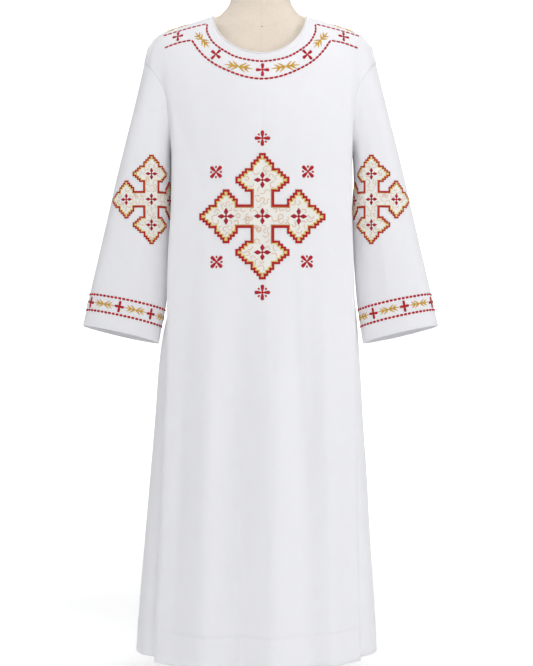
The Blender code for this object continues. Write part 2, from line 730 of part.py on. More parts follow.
def inside_form(x, y, z):
    """Whether a place is inside the form's torso or its neck."""
    neck = NECK.at(z)
    if z >= NECK_FOOT_Z and (x / neck.half_width) ** 2 + ((y - NECK_Y) / neck.depth) ** 2 < 1:
        return True
    form = FORM.at(z)
    across = abs(x) / form.half_width
    if across >= 1:
        return False
    panel = FRONT if y < 0 else BACK
    row = BODY.at(UNDERARM_Z)
    share = (form.front if y < 0 else form.back) / getattr(row, panel.middle)
    edge = getattr(row, panel.edge)
    depth = edge + (getattr(row, panel.middle) - edge) * (1 - (abs(x) / row.fold_x) ** FACE_POWER)
    depth *= share * (1 - across ** form.power) ** (1 / form.power)
    return abs(y) < depth * shoulder_round(panel, x, z + CLOTH + FORM_GAP)


def form_ring(z):
    """The form's section at one height, found outwards from its middle."""
    ring = []
    for step in range(FORM_SIDES):
        turn = 2 * math.pi * step / FORM_SIDES
        near, far = 0.0, 0.4
        for _ in range(HALVINGS):
            radius = (near + far) / 2
            if inside_form(radius * math.cos(turn), radius * math.sin(turn), z):
                near = radius
            else:
                far = radius
        ring.append(leaned(point(near * math.cos(turn), near * math.sin(turn), z)))
    return ring


def loft(name, rings):
    """A closed body through rings of points, with flat ends."""
    count = len(rings[0])
    places = [tuple(place) for ring in rings for place in ring]
    faces = grid_faces(len(rings), count, True)
    faces += [tuple(range(count)), tuple(range(len(places) - count, len(places)))]
    mesh = bpy.data.meshes.new(name)
    mesh.from_pydata(places, [], faces)
    return closed_mesh(mesh)


def neck_ring(z, share):
    top = NECK.at(FORM_HEIGHTS[-1])
    turns = [2 * math.pi * step / FORM_SIDES for step in range(FORM_SIDES)]
    wide = share * top.half_width
    deep = share * top.depth
    return [leaned(point(wide * math.cos(turn), NECK_Y + deep * math.sin(turn), z)) for turn in turns]


def add_cylinder(collection, name, radius, low, high, material_name, bevel=0.0):
    bm = bmesh.new()
    bmesh.ops.create_cone(bm, cap_ends=True, segments=ROUND_STEPS, radius1=radius, radius2=radius,
                          depth=high - low)
    bmesh.ops.translate(bm, verts=bm.verts, vec=(0, 0, (low + high) / 2))
    mesh = bpy.data.meshes.new(name)
    bm.to_mesh(mesh)
    bm.free()
    mesh.shade_smooth()
    mesh.set_sharp_from_angle(angle=SHARP_ANGLE)
    made = add_object(collection, name, mesh, material_name)
    if bevel:
        rounding = made.modifiers.new("rounding", "BEVEL")
        rounding.width = bevel
        rounding.segments = 2
        rounding.limit_method = "ANGLE"
    return made


def add_collar(collection):
    """A turned collar that stands on the base, round the pole."""
    bore = POLE_RADIUS + FIT
    foot = BASE_THICK + FIT
    profile = [(bore, foot + COLLAR_HEIGHT), (COLLAR_TOP_RADIUS, foot + COLLAR_HEIGHT),
               (COLLAR_TOP_RADIUS, foot + COLLAR_HEIGHT / 2), (COLLAR_RADIUS, foot + COLLAR_HEIGHT / 4),
               (COLLAR_RADIUS, foot), (bore, foot)]
    mesh = bpy.data.meshes.new("form_collar")
    edges = [(i, (i + 1) % len(profile)) for i in range(len(profile))]
    mesh.from_pydata([(x, 0, z) for x, z in profile], edges, [])
    made = add_object(collection, "form_collar", mesh, "steel")
    turned = made.modifiers.new("turned", "SCREW")
    turned.steps = ROUND_STEPS
    turned.render_steps = ROUND_STEPS
    turned.use_merge_vertices = True
    turned.merge_threshold = 0.00001
    turned.use_normal_calculate = True
    return made


def add_form(collection):
    """The padded torso and neck, the cap, and the stand."""
    torso = loft("form_torso", [form_ring(z) for z in FORM_HEIGHTS])
    add_object(collection, "form_torso", torso, "form_cloth")
    cap_z = FORM_HEIGHTS[-1] + FIT
    cap = loft("form_cap", [neck_ring(cap_z + height, share) for height, share in CAP_SECTIONS])
    add_object(collection, "form_cap", cap, "form_wood")
    add_cylinder(collection, "form_base", BASE_RADIUS, 0.0, BASE_THICK, "steel", BASE_BEVEL)
    pole_top = FORM_HEIGHTS[0] - FIT
    add_cylinder(collection, "form_pole", POLE_RADIUS, BASE_THICK + FIT, pole_top, "steel")
    add_collar(collection)


def main():
    for old in list(bpy.data.objects):
        bpy.data.objects.remove(old, do_unlink=True)
    collection = bpy.data.collections.new("tunic_on_dress_form")
    bpy.context.scene.collection.children.link(collection)
    add_cloth(collection)
    add_crosses(collection)
    add_form(collection)


main()
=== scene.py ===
import math
from functools import lru_cache, partial
from types import SimpleNamespace

import bmesh
import bpy
import numpy as np
from mathutils import Matrix, Vector
from mathutils.bvhtree import BVHTree


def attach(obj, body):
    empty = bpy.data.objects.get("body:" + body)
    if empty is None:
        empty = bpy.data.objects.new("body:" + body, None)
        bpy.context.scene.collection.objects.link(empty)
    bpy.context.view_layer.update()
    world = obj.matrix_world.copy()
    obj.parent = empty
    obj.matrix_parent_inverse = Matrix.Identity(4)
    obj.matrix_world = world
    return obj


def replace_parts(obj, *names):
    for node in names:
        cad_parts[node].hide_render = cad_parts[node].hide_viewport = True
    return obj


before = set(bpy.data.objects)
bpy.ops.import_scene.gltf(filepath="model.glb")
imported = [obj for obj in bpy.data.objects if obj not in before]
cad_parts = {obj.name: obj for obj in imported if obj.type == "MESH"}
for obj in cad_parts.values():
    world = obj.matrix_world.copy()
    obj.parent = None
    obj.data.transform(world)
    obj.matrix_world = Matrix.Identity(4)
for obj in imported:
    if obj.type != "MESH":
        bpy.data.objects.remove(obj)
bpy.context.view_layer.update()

leftSide = -1
rightSide = 1
sideNames = {leftSide: "left", rightSide: "right"}


class SizeTable:        # rows of named columns, read smoothly in between
    def __init__(self, columns, *rows):
        self.columns = columns.split()
        self.rows = np.array(sorted(rows), dtype=float)
        self.slopes = np.gradient(self.rows, self.rows[:, 0], axis=0)

    def at(self, place):
        keys = self.rows[:, 0]
        place = min(max(place, keys[0]), keys[-1])
        low = min(int(np.searchsorted(keys, place, side="right")) - 1, len(keys) - 2)
        span = keys[low + 1] - keys[low]
        t = (place - keys[low]) / span
        start = (1 + 2 * t) * (1 - t) ** 2 * self.rows[low] + t * (1 - t) ** 2 * span * self.slopes[low]
        end = t * t * (3 - 2 * t) * self.rows[low + 1] - t * t * (1 - t) * span * self.slopes[low + 1]
        return SimpleNamespace(**dict(zip(self.columns, start + end)))


def clamp(value):
    return min(max(value, 0.0), 1.0)


def ease(value):
    value = clamp(value)
    return value * value * (3 - 2 * value)


def mix(start, end, share):
    return start + (end - start) * share


def spot(x, y, z):
    return np.array((x, y, z), dtype=float)


def bump(distance, width):
    return math.exp(-(distance / width) ** 2)


def bezier(start, control, end, t):
    return (1 - t) ** 2 * start + 2 * t * (1 - t) * control + t * t * end


def runLengths(places, axis=0):     # how far along its line each place is
    steps = np.linalg.norm(np.diff(places, axis=axis), axis=-1)
    return np.insert(np.cumsum(steps, axis=axis), 0, 0, axis=axis)


# the cut of the tunic, as the solids have it, in thinner cloth
cut = {
    "cloth": 0.0013,            # thickness
    "foldRadius": 0.012,        # rounding of the fold that edges front and back
    "hemZ": 0.077,
    "hemDepth": 0.070,
    "hemRaise": 0.0009,         # the turned hem stands out by this
    "hemEase": 0.003,           # over this height
    "underarmZ": 1.150,
    "neckHalfWidth": 0.0997,
    "neckPointZ": 1.446,
    "shoulderTurnX": 0.2105,
    "shoulderCornerX": 0.243,
    "shoulderCornerZ": 1.393,
    "shoulderLean": -0.0045,
    "leanRise": 0.25,           # full at this height over the underarm
    "neckEven": 0.12,           # share of even spacing of the columns round the neck
    "columnFall": (2.0, 0.8),   # how late columns spread at the shoulder, and how much less at the neck
    "spread": 1.5,
    "cornerFall": (1.5, 2.5), "faceFall": (2, 1.5),     # how the edge fold runs up to the shoulder
    "facePower": 2.4,           # how square the front and back are
    "foldsStartZ": 1.00,
    "foldsFullZ": 0.50,
    "upperRows": 10,
    "lowerRows": 14,
    "edgeSteps": 5,
    "flatSteps": 2,             # of them, those before the fold rounds
    "shoulderSteps": 4,
    "goreSteps": 6,
    "finer": 4,                 # grid steps here for each step of the solids
}
halfRing = cut["upperRows"] + cut["goreSteps"] // 2

bodySizes = SizeTable(
    "z front back foldX foldLean foldY rearFoldY seamX seamY rearSeamY sideX sideLean sideY skew",
    (1.150, 0.128, 0.120, 0.1895, 0.0000, 0.080, 0.074, 0.1940, 0.016, 0.016, 0.1940, 0.0000, 0.000, 0.000),
    (1.044, 0.130, 0.122, 0.1908, -0.0008, 0.082, 0.076, 0.1885, 0.032, 0.030, 0.1890, 0.0030, 0.000, 0.001),
    (0.900, 0.138, 0.130, 0.1983, -0.0022, 0.086, 0.087, 0.1885, 0.048, 0.048, 0.1905, 0.0050, 0.004, 0.003),
    (0.733, 0.151, 0.144, 0.2017, -0.0008, 0.090, 0.100, 0.1860, 0.056, 0.062, 0.2137, -0.0043, 0.012, 0.005),
    (0.578, 0.161, 0.153, 0.2052, -0.0022, 0.092, 0.107, 0.1900, 0.056, 0.068, 0.2250, -0.0065, 0.020, 0.007),
    (0.449, 0.168, 0.160, 0.2085, -0.0040, 0.090, 0.111, 0.1940, 0.054, 0.072, 0.2354, -0.0076, 0.028, 0.008),
    (0.320, 0.174, 0.166, 0.2122, -0.0058, 0.087, 0.115, 0.1990, 0.050, 0.075, 0.2447, -0.0099, 0.036, 0.009),
    (0.191, 0.180, 0.171, 0.2170, -0.0075, 0.084, 0.119, 0.2030, 0.046, 0.077, 0.2550, -0.0110, 0.044, 0.010),
    (0.077, 0.184, 0.174, 0.2200, -0.0085, 0.082, 0.122, 0.2070, 0.042, 0.078, 0.2615, -0.0120, 0.050, 0.010),
)
ridgeSizes = SizeTable(
    "x z", (0.0, 1.471), (0.05, 1.460), (0.0997, 1.446), (0.168, 1.424), (0.2105, 1.4085), (0.23, 1.396),
    (0.242, 1.375), (0.249, 1.345),
)
armholeSizes = SizeTable(
    "way x y z", (0.0, 0.249, 0.0, 1.345), (0.17, 0.234, 0.028, 1.327), (0.33, 0.218, 0.041, 1.306),
    (0.5, 0.205, 0.046, 1.278), (0.7, 0.199, 0.046, 1.235), (0.87, 0.195, 0.034, 1.182),
    (1.0, 0.194, 0.016, 1.150),
)
sleeveSizes = SizeTable(
    "way outerX outerZ innerX innerZ halfDepth middleY tilt",
    (0.0, 0.2490, 1.345, 0.1940, 1.150, 0.046, 0.000, 0.000),
    (0.1, 0.2618, 1.290, 0.2020, 1.128, 0.053, -0.001, 0.000),
    (0.2, 0.2750, 1.235, 0.2045, 1.095, 0.059, -0.002, 0.000),
    (0.3, 0.2885, 1.179, 0.2025, 1.058, 0.062, -0.003, 0.000),
    (0.4, 0.3025, 1.122, 0.2015, 1.018, 0.062, -0.005, 0.000),
    (0.5, 0.3160, 1.064, 0.2020, 0.977, 0.060, -0.007, 0.010),
    (0.6, 0.3290, 1.006, 0.2035, 0.934, 0.058, -0.009, 0.030),
    (0.7, 0.3420, 0.949, 0.2060, 0.889, 0.055, -0.011, 0.060),
    (0.8, 0.3550, 0.892, 0.2095, 0.841, 0.052, -0.013, 0.090),
    (0.9, 0.3680, 0.836, 0.2145, 0.793, 0.049, -0.014, 0.115),
    (1.0, 0.3805, 0.780, 0.2205, 0.743, 0.046, -0.015, 0.130),
)
sleeveCut = {
    "lean": -0.0030, "leanFrom": 0.5, "foldEase": 0.15, "armholeReach": 0.30, "goreAngle": 36, "rows": 14,
    "length": 0.58, "cuffTurn": 0.008,
    "inwards": {leftSide: 0.0095, rightSide: 0.0044},       # the inner side swings in towards the body
    "swingStart": (0.07, 0.15), "swingEnd": (0.80, 0.20),   # ways it starts and eases off at, and over which
    "cuffSwing": 0.35,          # its share left at the cuff
}

# large folds: x at the chest, x at the hem, how far they stand out, half width
frontFolds = ((-0.150, -0.186, -0.007, 0.022), (-0.103, -0.126, 0.014, 0.027),
              (-0.040, -0.042, -0.015, 0.028), (0.024, 0.022, 0.014, 0.027),
              (0.074, 0.096, -0.012, 0.026), (0.130, 0.152, 0.009, 0.022))
backFolds = ((-0.140, -0.165, 0.009, 0.024), (-0.085, -0.100, -0.010, 0.026), (-0.020, -0.015, 0.012, 0.030),
             (0.045, 0.060, -0.012, 0.026), (0.115, 0.135, 0.010, 0.028))
# small soft creases: from x, z to x, z, how far they stand out, half width
frontCreases = ((-0.186, 1.240, -0.120, 1.060, -0.0022, 0.011), (0.184, 1.255, 0.126, 1.080, -0.0020, 0.011),
                (-0.160, 1.330, -0.130, 1.170, 0.0016, 0.014), (0.158, 1.320, 0.136, 1.180, 0.0014, 0.013),
                (-0.116, 1.000, -0.135, 0.700, 0.0022, 0.012), (0.026, 0.860, 0.020, 0.420, -0.0018, 0.010),
                (0.080, 0.920, 0.092, 0.560, 0.0022, 0.011), (-0.048, 0.700, -0.058, 0.260, -0.0016, 0.012),
                (0.140, 0.840, 0.152, 0.480, -0.0020, 0.010), (-0.150, 0.620, -0.160, 0.200, 0.0022, 0.011),
                (0.000, 1.345, 0.000, 0.800, -0.0007, 0.0035))
backCreases = ((-0.176, 1.250, -0.110, 1.080, -0.0022, 0.012), (0.178, 1.240, 0.118, 1.070, -0.0022, 0.012),
               (-0.050, 1.180, -0.056, 0.860, 0.0018, 0.013), (0.078, 1.120, 0.086, 0.780, -0.0018, 0.012),
               (-0.110, 0.780, -0.128, 0.360, 0.0020, 0.012), (0.020, 0.800, 0.026, 0.300, -0.0020, 0.012),
               (0.150, 0.700, 0.160, 0.260, 0.0020, 0.011))
# sleeve folds: angle round the sleeve, start, end, how far they stand out, half width in degrees
sleeveFolds = ((82, 0.02, 0.55, -0.004, 22), (40, 0.10, 0.95, 0.003, 22), (150, 0.45, 1.00, -0.003, 22),
               (250, 0.05, 0.80, -0.005, 22), (300, 0.05, 0.95, 0.004, 22), (100, 0.30, 0.90, 0.0016, 9),
               (62, 0.42, 1.02, -0.0014, 8), (128, 0.05, 0.60, 0.0018, 10), (222, 0.20, 0.85, 0.0018, 9),
               (276, 0.30, 1.02, -0.0016, 9))

frontPanel = SimpleNamespace(name="tunicFront", way=-1, middle="front", edge="foldY", seam="seamY",
                             skew=1, rise=0.36, folds=frontFolds, creases=frontCreases, neckDrop=0.0965,
                             neckSteps=16)
backPanel = SimpleNamespace(name="tunicBack", way=1, middle="back", edge="rearFoldY", seam="rearSeamY",
                            skew=0, rise=0.24, folds=backFolds, creases=backCreases, neckDrop=0.016,
                            neckSteps=8)


def leaned(place):      # the shoulders hang a little to the left
    x, y, z = place
    share = ease((z - cut["underarmZ"]) / cut["leanRise"]) * ease(abs(x) / cut["neckHalfWidth"])
    return spot(x + cut["shoulderLean"] * share, y, z)


def foldHeight(panel, x, z):
    fade = ease((cut["foldsStartZ"] - z) / (cut["foldsStartZ"] - cut["foldsFullZ"]))
    down = clamp((cut["foldsStartZ"] - z) / (cut["foldsStartZ"] - cut["hemZ"]))
    total = fade * sum(high * bump(x - mix(top, hem, down), wide) for top, hem, high, wide in panel.folds)
    for startX, startZ, endX, endZ, high, wide in panel.creases:
        along = (startZ - z) / (startZ - endZ)
        if -0.2 < along < 1.2:
            fade = ease(along * 3 + 0.5) * ease((1 - along) * 3 + 0.5)
            total += high * fade * bump(x - mix(startX, endX, along), wide)
    return total


def shoulderRound(panel, x, z):
    below = clamp((ridgeSizes.at(abs(x)).z - z) / panel.rise)
    return math.sqrt(1 - (1 - below) ** 2)


def hemOut(z):      # how far the turned hem lifts the cloth
    return cut["hemRaise"] * ease((cut["hemZ"] + cut["hemDepth"] - z) / cut["hemEase"])


def onFace(panel, x, z):
    row = bodySizes.at(z)
    across = (x - row.foldLean) / row.foldX
    edge = getattr(row, panel.edge)
    depth = edge + (getattr(row, panel.middle) - edge) * (1 - abs(across) ** cut["facePower"])
    depth += foldHeight(panel, x, z) - panel.skew * row.skew * across + hemOut(z)
    return spot(x, panel.way * depth * shoulderRound(panel, x, z), z)


def armholeSpot(panel, side, share):
    row = armholeSizes.at(share)
    return spot(side * row.x, panel.way * row.y, row.z)


def turnedEdge(seam, corner, face, crisp, way):     # from the side seam round the edge fold onto the face
    soft = bezier(seam, corner, face, way)
    leg = seam - corner
    near = corner + leg * min(0.5, cut["foldRadius"] / np.linalg.norm(leg))
    turn, flat = way * cut["edgeSteps"], cut["flatSteps"]
    if turn < flat:
        return mix(soft, mix(seam, near, turn / flat), crisp)
    return mix(soft, bezier(near, corner, face, (turn - flat) / (cut["edgeSteps"] - flat)), crisp)


def edgeCorners(panel, side, row):      # seam, corner, face and crispness of the edge fold, at a row
    if row <= cut["upperRows"]:
        share = row / cut["upperRows"]
        top = bodySizes.at(cut["underarmZ"])
        drop = share ** cut["cornerFall"][0]
        cornerX = mix(top.foldX, cut["shoulderCornerX"], (1 - drop) ** cut["cornerFall"][1])
        cornerZ = mix(cut["shoulderCornerZ"], cut["underarmZ"], drop)
        drop = share ** cut["faceFall"][0]
        faceX = mix(top.foldX - cut["foldRadius"], cut["shoulderTurnX"], (1 - drop) ** cut["faceFall"][1])
        faceZ = mix(ridgeSizes.at(cut["shoulderTurnX"]).z, cut["underarmZ"], drop)
        return (armholeSpot(panel, side, share), onFace(panel, side * cornerX, cornerZ),
                onFace(panel, side * faceX, faceZ), ease(share))
    z = mix(cut["underarmZ"], cut["hemZ"], (row - cut["upperRows"]) / cut["lowerRows"])
    level = bodySizes.at(z)
    foldX = side * level.foldX + level.foldLean
    seam = spot(side * level.seamX + level.foldLean, panel.way * getattr(level, panel.seam), z)
    return seam, onFace(panel, foldX, z), onFace(panel, foldX - side * cut["foldRadius"], z), 1.0


def topEdge(panel, column):     # x, z and fall of the shoulder and neckline
    last = 2 * cut["shoulderSteps"] + panel.neckSteps
    late, less = cut["columnFall"]
    if column > last / 2:
        x, z, fall = topEdge(panel, last - column)
        return -x, z, fall
    if column < cut["shoulderSteps"]:
        x = mix(cut["shoulderTurnX"], cut["neckHalfWidth"], column / cut["shoulderSteps"])
        return -x, ridgeSizes.at(x).z, late
    share = (column - cut["shoulderSteps"]) / panel.neckSteps
    turn = math.pi * mix(ease(share), share, cut["neckEven"])
    drop = math.sin(turn)
    z = cut["neckPointZ"] - panel.neckDrop * drop
    return -cut["neckHalfWidth"] * math.cos(turn), z, late - less * drop


@lru_cache(maxsize=None)
def cachedCorners(name, side, row):
    return edgeCorners(frontPanel if name == frontPanel.name else backPanel, side, row)


def panelSpot(panel, column, row):      # a point of the front or back, in grid steps of the solids
    edge = cut["edgeSteps"]
    last = 2 * edge + 2 * cut["shoulderSteps"] + panel.neckSteps
    if column < edge or column > last - edge:
        side = leftSide if column < edge else rightSide
        seam, corner, face, crisp = cachedCorners(panel.name, side, row)
        place = turnedEdge(seam, corner, face, crisp, min(column, last - column) / edge)
        return leaned(place) if row <= cut["upperRows"] else place
    across = column - edge
    share = across / (last - 2 * edge)
    if row <= cut["upperRows"]:
        topX, topZ, fall = topEdge(panel, across)
        base = bodySizes.at(cut["underarmZ"]).foldX - cut["foldRadius"]
        drop = (row / cut["upperRows"]) ** fall
        x = mix(mix(-base, base, share), topX, (1 - drop) ** cut["spread"])
        return leaned(onFace(panel, x, mix(topZ, cut["underarmZ"], drop)))
    z = mix(cut["underarmZ"], cut["hemZ"], (row - cut["upperRows"]) / cut["lowerRows"])
    left = cachedCorners(panel.name, leftSide, row)[2][0]
    right = cachedCorners(panel.name, rightSide, row)[2][0]
    return onFace(panel, mix(left, right, share), z)


def goreSpot(side, column, row):        # a point of a side gore, from the front seam to the back seam
    z = mix(cut["underarmZ"], cut["hemZ"], row / cut["lowerRows"])
    level = bodySizes.at(z)
    turn = math.pi * column / cut["goreSteps"]
    seamY = -level.seamY if column <= cut["goreSteps"] / 2 else level.rearSeamY
    x = mix(side * level.seamX + level.foldLean, side * level.sideX + level.sideLean, math.sin(turn))
    x += side * hemOut(z) * math.sin(turn)
    return spot(x, mix(level.sideY, seamY, abs(math.cos(turn))), z)


def ringSpot(side, across):     # the armhole, from the shoulder: positive over the front
    panel = frontPanel if across >= 0 else backPanel
    steps = abs(across)
    if steps <= cut["upperRows"]:
        return leaned(armholeSpot(panel, side, steps / cut["upperRows"]))
    level = bodySizes.at(cut["underarmZ"])
    turn = math.pi * (steps - cut["upperRows"]) / cut["goreSteps"]
    seamY = panel.way * getattr(level, panel.seam)
    return spot(side * mix(level.seamX, level.sideX, math.sin(turn)), mix(level.sideY, seamY, math.cos(turn)),
                cut["underarmZ"])


def sleeveRound(side, degrees, way):
    level = sleeveSizes.at(way)
    turn = math.radians(degrees)
    swell = 1.0
    for angle, start, end, high, wide in sleeveFolds:
        off = (degrees - angle + 180) % 360 - 180
        run = ease((way - start) / sleeveCut["foldEase"]) * ease((end - way) / sleeveCut["foldEase"])
        swell += high / level.halfDepth * bump(off, wide) * run
    out = swell * math.cos(turn)
    deep = swell * level.halfDepth * math.sin(turn)
    x = (level.outerX + level.innerX) / 2 + out * (level.outerX - level.innerX) / 2
    z = (level.outerZ + level.innerZ) / 2 + out * (level.outerZ - level.innerZ) / 2
    lean = sleeveCut["lean"] * mix((1 + math.cos(turn)) / 2, 1, ease(way / sleeveCut["leanFrom"]))
    return spot(side * x + lean, level.middleY - deep, z + level.tilt * deep)


def sleeveSpot(side, across, way):      # a point of a sleeve, its armhole fading into round sections
    if across > halfRing:
        across -= 2 * halfRing
    even = ease(way / sleeveCut["armholeReach"])
    fromUnderarm = halfRing - abs(across)
    if fromUnderarm < cut["goreSteps"] / 2:
        crowded = 180 - sleeveCut["goreAngle"] * fromUnderarm / cut["goreSteps"]
    else:
        crowded = (180 - sleeveCut["goreAngle"] / 2) * abs(across) / cut["upperRows"]
    degrees = mix(math.copysign(crowded, across), 180 * across / halfRing, even)
    place = mix(ringSpot(side, across), sleeveRound(side, degrees, way), even)
    start, end = (ease((way - low) / span) for low, span in (sleeveCut["swingStart"], sleeveCut["swingEnd"]))
    swing = start * mix(1, sleeveCut["cuffSwing"], end) * (1 - math.cos(math.pi * across / halfRing)) / 2
    return place - spot(side * sleeveCut["inwards"][side] * swing, 0, 0)


# materials
class Wire:     # a socket that takes part in sums
    def __init__(self, paint, socket):
        self.paint = paint
        self.socket = socket

    def __add__(self, other):
        return self.paint.sum("ADD", self, other)

    def __sub__(self, other):
        return self.paint.sum("SUBTRACT", self, other)

    def __rsub__(self, other):
        return self.paint.sum("SUBTRACT", other, self)

    def __mul__(self, other):
        return self.paint.sum("MULTIPLY", self, other)

    def __truediv__(self, other):
        return self.paint.sum("DIVIDE", self, other)

    __radd__ = __add__
    __rmul__ = __mul__

    def sine(self):
        return self.paint.sum("SINE", self, 0.0)

    def root(self):
        return self.paint.sum("POWER", self, 0.5)

    def held(self):     # between 0 and 1
        return self.paint.node("ShaderNodeClamp", {}, {0: self})


class Paint:        # one material, built on its Principled shader
    def __init__(self, name, **values):
        self.material = bpy.data.materials.new(name)
        self.material.use_nodes = True
        self.nodes = self.material.node_tree.nodes
        self.links = self.material.node_tree.links
        self.shader = self.nodes["Principled BSDF"]
        for key, value in values.items():
            self.shader.inputs[key].default_value = value

    def node(self, kind, settings=None, sockets=None, out=0):
        made = self.nodes.new(kind)
        for key, value in (settings or {}).items():
            setattr(made, key, value)
        for key, value in (sockets or {}).items():
            if isinstance(value, Wire):
                self.links.new(value.socket, made.inputs[key])
            else:
                made.inputs[key].default_value = value
        return Wire(self, made.outputs[out])

    def sum(self, operation, first, second):
        return self.node("ShaderNodeMath", {"operation": operation}, {0: first, 1: second})

    def at(self, kind):     # Object or UV coordinates
        return self.node("ShaderNodeTexCoord", {}, {}, kind)

    def parts(self, vector):
        first = self.node("ShaderNodeSeparateXYZ", {}, {0: vector})
        return [Wire(self, first.socket.node.outputs[i]) for i in range(3)]

    def joined(self, x, y, z):
        return self.node("ShaderNodeCombineXYZ", {}, {0: x, 1: y, 2: z})

    def stretched(self, vector, scale):
        return self.node("ShaderNodeVectorMath", {"operation": "MULTIPLY"}, {0: vector, 1: scale})

    def noise(self, vector, scale, detail=2.0, roughness=0.5):
        return self.node("ShaderNodeTexNoise", {}, {"Vector": vector, "Scale": scale, "Detail": detail,
                                                    "Roughness": roughness})

    def colours(self, share, low, high):
        return self.node("ShaderNodeMix", {"data_type": "RGBA"}, {0: share, 6: (*low, 1), 7: (*high, 1)}, 2)

    def raised(self, height, distance, strength=1.0, under=None):
        sockets = {"Height": height, "Distance": distance, "Strength": strength}
        if under:
            sockets["Normal"] = under
        return self.node("ShaderNodeBump", {}, sockets)

    def feed(self, **wires):
        for key, wire in wires.items():
            self.links.new(wire.socket, self.shader.inputs[key.replace("_", " ")])
        return self.material


clothLook = {"bright": (0.880, 0.880, 0.905), "shade": (0.835, 0.835, 0.865), "thread": 0.00045}


def whiteCloth():       # plain-woven cotton with a soft, slightly uneven hand
    paint = Paint("whiteCloth", **{"Roughness": 0.82, "Sheen Weight": 0.12, "Sheen Roughness": 0.6,
                                   "Specular IOR Level": 0.28})
    uv = paint.at("UV")
    u, v, _ = paint.parts(uv)
    pitch = math.pi / clothLook["thread"]
    weave = (u * pitch).sine() * (v * pitch).sine()
    slub = paint.noise(uv, 240.0, 3.0, 0.6)
    hand = paint.noise(uv, 26.0, 3.0, 0.55)
    soft = paint.noise(uv, 7.0, 2.0, 0.5)
    tone = (slub * 0.35 + hand * 0.65).held()
    under = paint.raised(soft, 0.0030, 0.35)
    under = paint.raised(hand, 0.0009, 0.35, under)
    fine = paint.raised(weave * 0.5 + slub * 0.5, 0.00022, 0.5, under)
    return paint.feed(Base_Color=paint.colours(tone, clothLook["shade"], clothLook["bright"]),
                      Roughness=slub * 0.12 + 0.76, Normal=fine)


whiteClothMaterial = whiteCloth()
print("cloth material made")


# pieces
def finishPiece(name, bm, materials, sharpAngle=None):
    mesh = bpy.data.meshes.new(name)
    bm.to_mesh(mesh)
    bm.free()
    mesh.shade_smooth()
    if sharpAngle:
        mesh.set_sharp_from_angle(angle=math.radians(sharpAngle))
    made = bpy.data.objects.new(name, mesh)
    for material in materials:
        mesh.materials.append(material)
    bpy.context.scene.collection.objects.link(made)
    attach(made, "root")
    return made


def kindOf(geom, kind):
    return [part for part in geom if isinstance(part, kind)]


def addWall(piece, thickness):      # inwards from the side that shows
    wall = piece.modifiers.new("wall", "SOLIDIFY")
    wall.thickness = thickness
    wall.offset = -1


def gridLines(steps, extra=()):     # a fine grid's lines, in steps of the solids, more where cloth is sewn
    even = np.linspace(0, steps, steps * cut["finer"] + 1)
    close = 0.175 / cut["finer"]        # even lines this near to an extra one are left out
    kept = [line for line in even if line in (0, steps) or all(abs(more - line) > close for more in extra)]
    return sorted(kept + list(extra))


def panelColumns(panel):
    return gridLines(2 * cut["edgeSteps"] + 2 * cut["shoulderSteps"] + panel.neckSteps)


flatSizes = {}      # width, length and width at the hem of each piece, laid flat


def clothPiece(name, columns, rows, place, outward, ring=False):
    # a grid is moved onto the cut piece's surface; its UV map holds metres of cloth
    bm = bmesh.new()
    uvLayer = bm.loops.layers.uv.new("cloth")
    last = (len(columns) - 1, len(rows) - 1)
    bmesh.ops.create_grid(bm, x_segments=last[0], y_segments=last[1], size=1.0, calc_uvs=True)
    spots = {vert: tuple(round((vert.co[i] + 1) / 2 * last[i]) for i in (0, 1)) for vert in bm.verts}
    places = np.array([[place(column, row) for row in rows] for column in columns])
    across, down = runLengths(places), runLengths(places, 1)
    across -= across[across.shape[0] // 2]
    for face in bm.faces:
        for loop in face.loops:
            loop[uvLayer].uv = (across[spots[loop.vert]], down[spots[loop.vert]])
    for vert, key in spots.items():
        vert.co = Vector(places[key])
    if ring:
        bmesh.ops.remove_doubles(bm, verts=bm.verts, dist=0.00001)
    bm.normal_update()
    middle = min(bm.faces, key=lambda face: (face.calc_center_median() - Vector(outward[0])).length)
    if middle.normal.dot(Vector(outward[1])) < 0:
        bmesh.ops.reverse_faces(bm, faces=bm.faces)
    made = finishPiece(name, bm, [whiteClothMaterial])
    addWall(made, cut["cloth"])
    widths = np.ptp(across, axis=0)
    widest = max(widths if ring else widths[len(widths) // 2:])
    flatSizes[name] = (float(widest), float(np.max(down)), float(widths[-1]))
    return made


def measuredArea(piece):
    return sum(face.area for face in piece.data.polygons)


def lowerRow(z):        # steps below the underarm at a height
    return (cut["underarmZ"] - z) / (cut["underarmZ"] - cut["hemZ"]) * cut["lowerRows"]


hemTop = cut["hemZ"] + cut["hemDepth"]
hemRows = [lowerRow(hemTop + above) for above in (0.0035, 0.0008, -0.0008, -0.0022, -0.0036, -0.0060)]
bodyRows = gridLines(cut["upperRows"] + cut["lowerRows"], [cut["upperRows"] + row for row in hemRows])
goreRows = gridLines(cut["lowerRows"], hemRows)
sleeveRows = gridLines(sleeveCut["rows"], [sleeveCut["rows"] * (1 - up / sleeveCut["length"])
                                           for up in (0.0020, 0.0040, 0.0060)])


def sleeveRowSpot(side, column, row):
    return sleeveSpot(side, column, row / sleeveCut["rows"])


bodyPieces = {}


def addCloth(node, *cloth, **kinds):
    made = clothPiece(*cloth, **kinds)
    bodyPieces[made.name] = made
    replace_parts(made, node)
    print(made.name, "made, area", round(measuredArea(made), 3))


